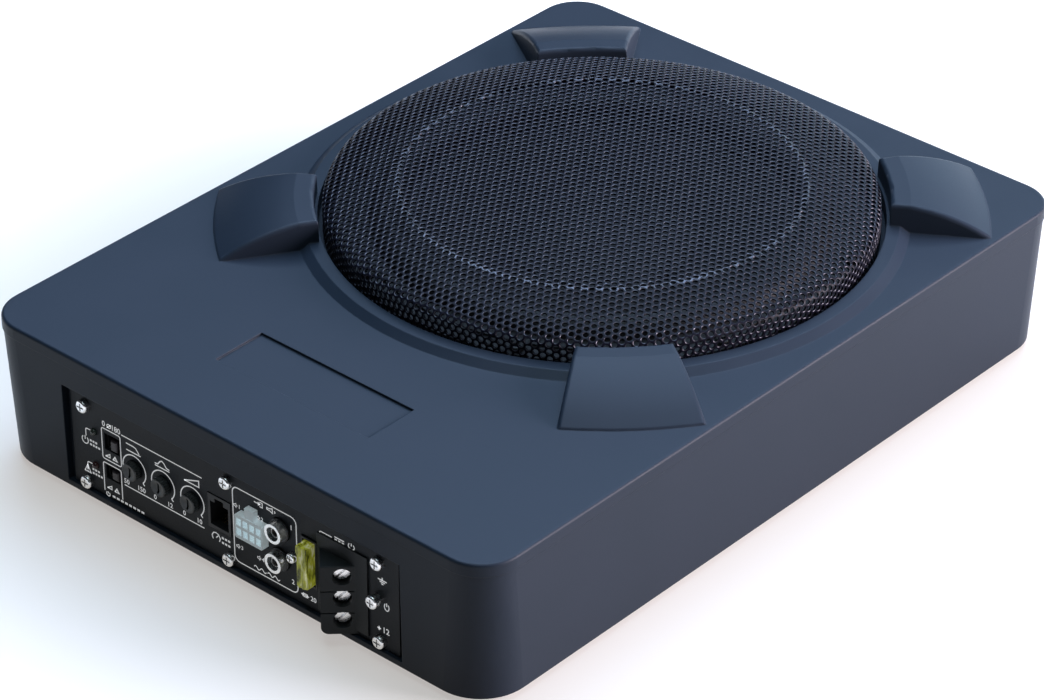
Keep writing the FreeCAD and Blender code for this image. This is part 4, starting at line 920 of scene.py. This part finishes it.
ICON_WARNING = [[(-1, -0.9), (0, 1), (1, -0.9), (-1, -0.9)], [(0, 0.4), (0, -0.25)], [(0, -0.5), (0, -0.65)]]
ICON_LOW_PASS = [[(-1, -1), (1, -1)], [(-1, 0.7), (0, 0.7), (0.35, 0.5), (0.8, -0.7)]]
ICON_HUMP = [[(-1, -1), (1, -1)],
             [(-1, -0.5), (-0.6, -0.4), (-0.25, 0.6), (0, 0.9), (0.25, 0.6), (0.6, -0.4), (1, -0.5)]]
ICON_WEDGE = [[(-1, -0.8), (1, -0.8), (1, 0.9), (-1, -0.8)]]
ICON_ARROW_IN = [[(-1, 0), (0.35, 0)], [(-0.1, 0.7), (0.4, 0), (-0.1, -0.7)],
                 [(0.3, 1), (0.95, 1), (0.95, -1), (0.3, -1)]]
ICON_SPEAKER = [[(-1, -0.4), (-1, 0.4), (-0.4, 0.4), (0.3, 1), (0.3, -1), (-0.4, -0.4), (-1, -0.4)],
                [(0.75, 0.5), (0.95, 0), (0.75, -0.5)]]
ICON_WAVE = [[(x / 8, 0.8 * math.sin(x * math.pi / 4)) for x in range(-8, 9)]]
ICON_FUSE = [[(-1, 0), (-0.55, 0)], [(-0.55, 0.6), (0.55, 0.6), (0.55, -0.6), (-0.55, -0.6), (-0.55, 0.6)],
             [(0.55, 0), (1, 0)], [(-0.5, 0), (0.5, 0)]]
ICON_GROUND = [[(0, 1), (0, 0.2)], [(-1, 0.2), (1, 0.2)], [(-0.6, -0.35), (0.6, -0.35)],
               [(-0.25, -0.9), (0.25, -0.9)]]
ICON_PLUS = [[(-1, 0), (1, 0)], [(0, -1), (0, 1)]]
ICON_DIRECT = [[(-1, 0.5), (1, 0.5)], [(-1, -0.5), (-0.5, -0.5)], [(-0.25, -0.5), (0.25, -0.5)],
               [(0.5, -0.5), (1, -0.5)]]
ICON_DIAL = [[(-0.75, -0.7), (-1.0, 0.05), (-0.6, 0.8), (0, 1), (0.6, 0.8), (1.0, 0.05), (0.75, -0.7)],
             [(0, -0.1), (0.5, 0.5)]]
ICON_PHASE = [circle_route(16, 0.8), [(-0.9, -1), (0.9, 1)]]


def print_lamps_and_switches(ink):
    for low_z, corner_z in ((29.4, 33.0), (13.9, 17.5)):
        ink.stroke([(78.1, low_z), (78.1, corner_z - 0.8), (77.9, corner_z - 0.2), (77.3, corner_z),
                    (75.4, corner_z)])
    for centre, icon in (((78.7, 27.3), icon_power()), ((78.2, 14.2), ICON_WARNING)):
        ink.icon(centre, (1.7, 1.7), icon)
        ink.bars((centre[0] - 2.6, centre[1] + 0.9), 3, 1.0)
        ink.bars((centre[0] - 2.6, centre[1] - 0.9), 4, 1.0)
    ink.rounded((59.0, 69.2), (23.3, 37.3), 0.9)
    ink.stroke([(69.2, 8.2), (69.2, 20.8), (68.9, 21.3), (68.4, 21.5), (60.2, 21.5), (59.7, 21.3),
                (59.4, 20.8), (59.4, 8.2)], FRAME_LINE)
    ink.number("0", (67.8, 39.4), 2.3)
    ink.icon((64.9, 39.4), (1.3, 1.0), ICON_PHASE)
    ink.number("180", (61.2, 39.4), 2.3)
    for height in (25.5, 10.8):
        ink.icon((66.4, height), (1.2, 0.9), ICON_WEDGE)
        ink.icon((62.4, height), (1.2, 0.9), ICON_WARNING)
    ink.icon((67.4, 7.2), (0.95, 0.95), icon_power())
    ink.bars((65.0, 7.2), 8, 1.5)


def print_dials(ink):
    ink.stroke([(58.2, 38.6), (15.1, 38.6)], FRAME_LINE)
    ink.stroke([(57.8, 15.9), (14.8, 15.9)], FRAME_LINE)
    labels = (("crossover_knob", ICON_LOW_PASS, "50", "150"), ("bass_knob", ICON_HUMP, "0", "12"),
              ("gain_knob", ICON_WEDGE, "0", "10"))
    for node, icon, low_end, high_end in labels:
        low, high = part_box(node)
        centre = ((low.y + high.y) / 2 / MM, (low.z + high.z) / 2 / MM)
        ink.arc(centre, DIAL_R, *DIAL_TURNS, DIAL_LINE)
        for turn in DIAL_TURNS:
            tick = math.radians(turn)
            across, up = math.cos(tick), math.sin(tick)
            ink.stroke([(centre[0] - DIAL_R * across, centre[1] + DIAL_R * up),
                        (centre[0] - (DIAL_R + TICK) * across, centre[1] + (DIAL_R + TICK) * up)], DIAL_LINE)
        ink.icon((centre[0], 34.9), (3.9, 1.7), icon, 0.52)
        ink.number(low_end, (centre[0] + 4.6, 17.9), 2.0)
        ink.number(high_end, (centre[0] - 3.4, 17.9), 2.0)


def print_inputs(ink):
    ink.icon((8.6, 14.8), (2.2, 2.0), ICON_DIAL)
    ink.bars((5.6, 15.9), 3, 1.1)
    ink.bars((5.6, 13.7), 3, 1.1)
    ink.rounded((-34.0, -1.1), (9.0, 42.9), 2.6)
    ink.icon((-14.6, 40.9), (2.2, 1.0), ICON_ARROW_IN)
    ink.icon((-21.2, 40.9), (2.2, 1.0), ICON_SPEAKER)
    channels = (((-3.4, 34.6), "1"), ((-15.2, 34.4), "2"), ((-4.1, 16.2), "3"), ((-15.0, 16.0), "4"))
    for centre, text in channels:
        ink.icon((centre[0] + 0.9, centre[1]), (0.9, 0.9), ICON_SPEAKER, 0.28)
        ink.number(text, (centre[0] - 1.1, centre[1]), 1.6)
    ink.number("1", (-31.4, 37.9), 2.0)
    ink.number("2", (-31.6, 13.4), 2.0)
    ink.icon((-14.4, 10.9), (3.2, 0.8), ICON_WAVE)
    ink.icon((-21.4, 10.9), (3.2, 0.8), ICON_WAVE)


def print_supply(ink):
    ink.icon((-37.6, 10.3), (2.0, 1.1), ICON_FUSE)
    ink.number("20", (-41.9, 10.3), 2.0)
    ink.stroke([(-45.9, 4.6), (-45.9, 42.6), (-46.1, 43.3), (-46.8, 43.6), (-52.2, 43.6)], FRAME_LINE)
    ink.icon((-56.0, 44.0), (2.4, 1.0), ICON_DIRECT, 0.55)
    ink.icon((-62.0, 44.0), (1.5, 1.3), icon_power())
    ink.icon((-77.2, 36.0), (2.2, 1.5), ICON_GROUND, 0.55)
    ink.icon((-79.2, 25.2), (1.15, 1.6), icon_power())
    ink.icon((-75.2, 14.0), (0.9, 0.9), ICON_PLUS, 0.55)
    ink.number("12", (-78.6, 14.0), 2.4)


def make_print():
    # painted light: the white ink glows, so that the print stays bright on the panel's shaded face
    glowing_white_ink = surface("print_ink", (0.82, 0.84, 0.86), (0.92, 0.93, 0.94), 0.5, 0.1, patch=400,
                        depth=0.00001, glow=0.38)
    ink = PanelPrint()
    print_lamps_and_switches(ink)
    print_dials(ink)
    print_inputs(ink)
    print_supply(ink)
    ink.build("panel_print", glowing_white_ink)


# ---- Putting it together ----
make_camera()
make_lights()
make_floor()
MATERIALS = make_materials()
dress_cad_nodes(MATERIALS)
make_grille(MATERIALS)
make_surround(MATERIALS)
make_spider(MATERIALS)
for knob_node in KNOB_NODES:
    fluted_knob(knob_node + "_cap", knob_node, knob_node + "_body", MATERIALS["knob_plastic"])
make_fuse(MATERIALS)
make_print()
bpy.context.scene.view_settings.view_transform = "Standard"
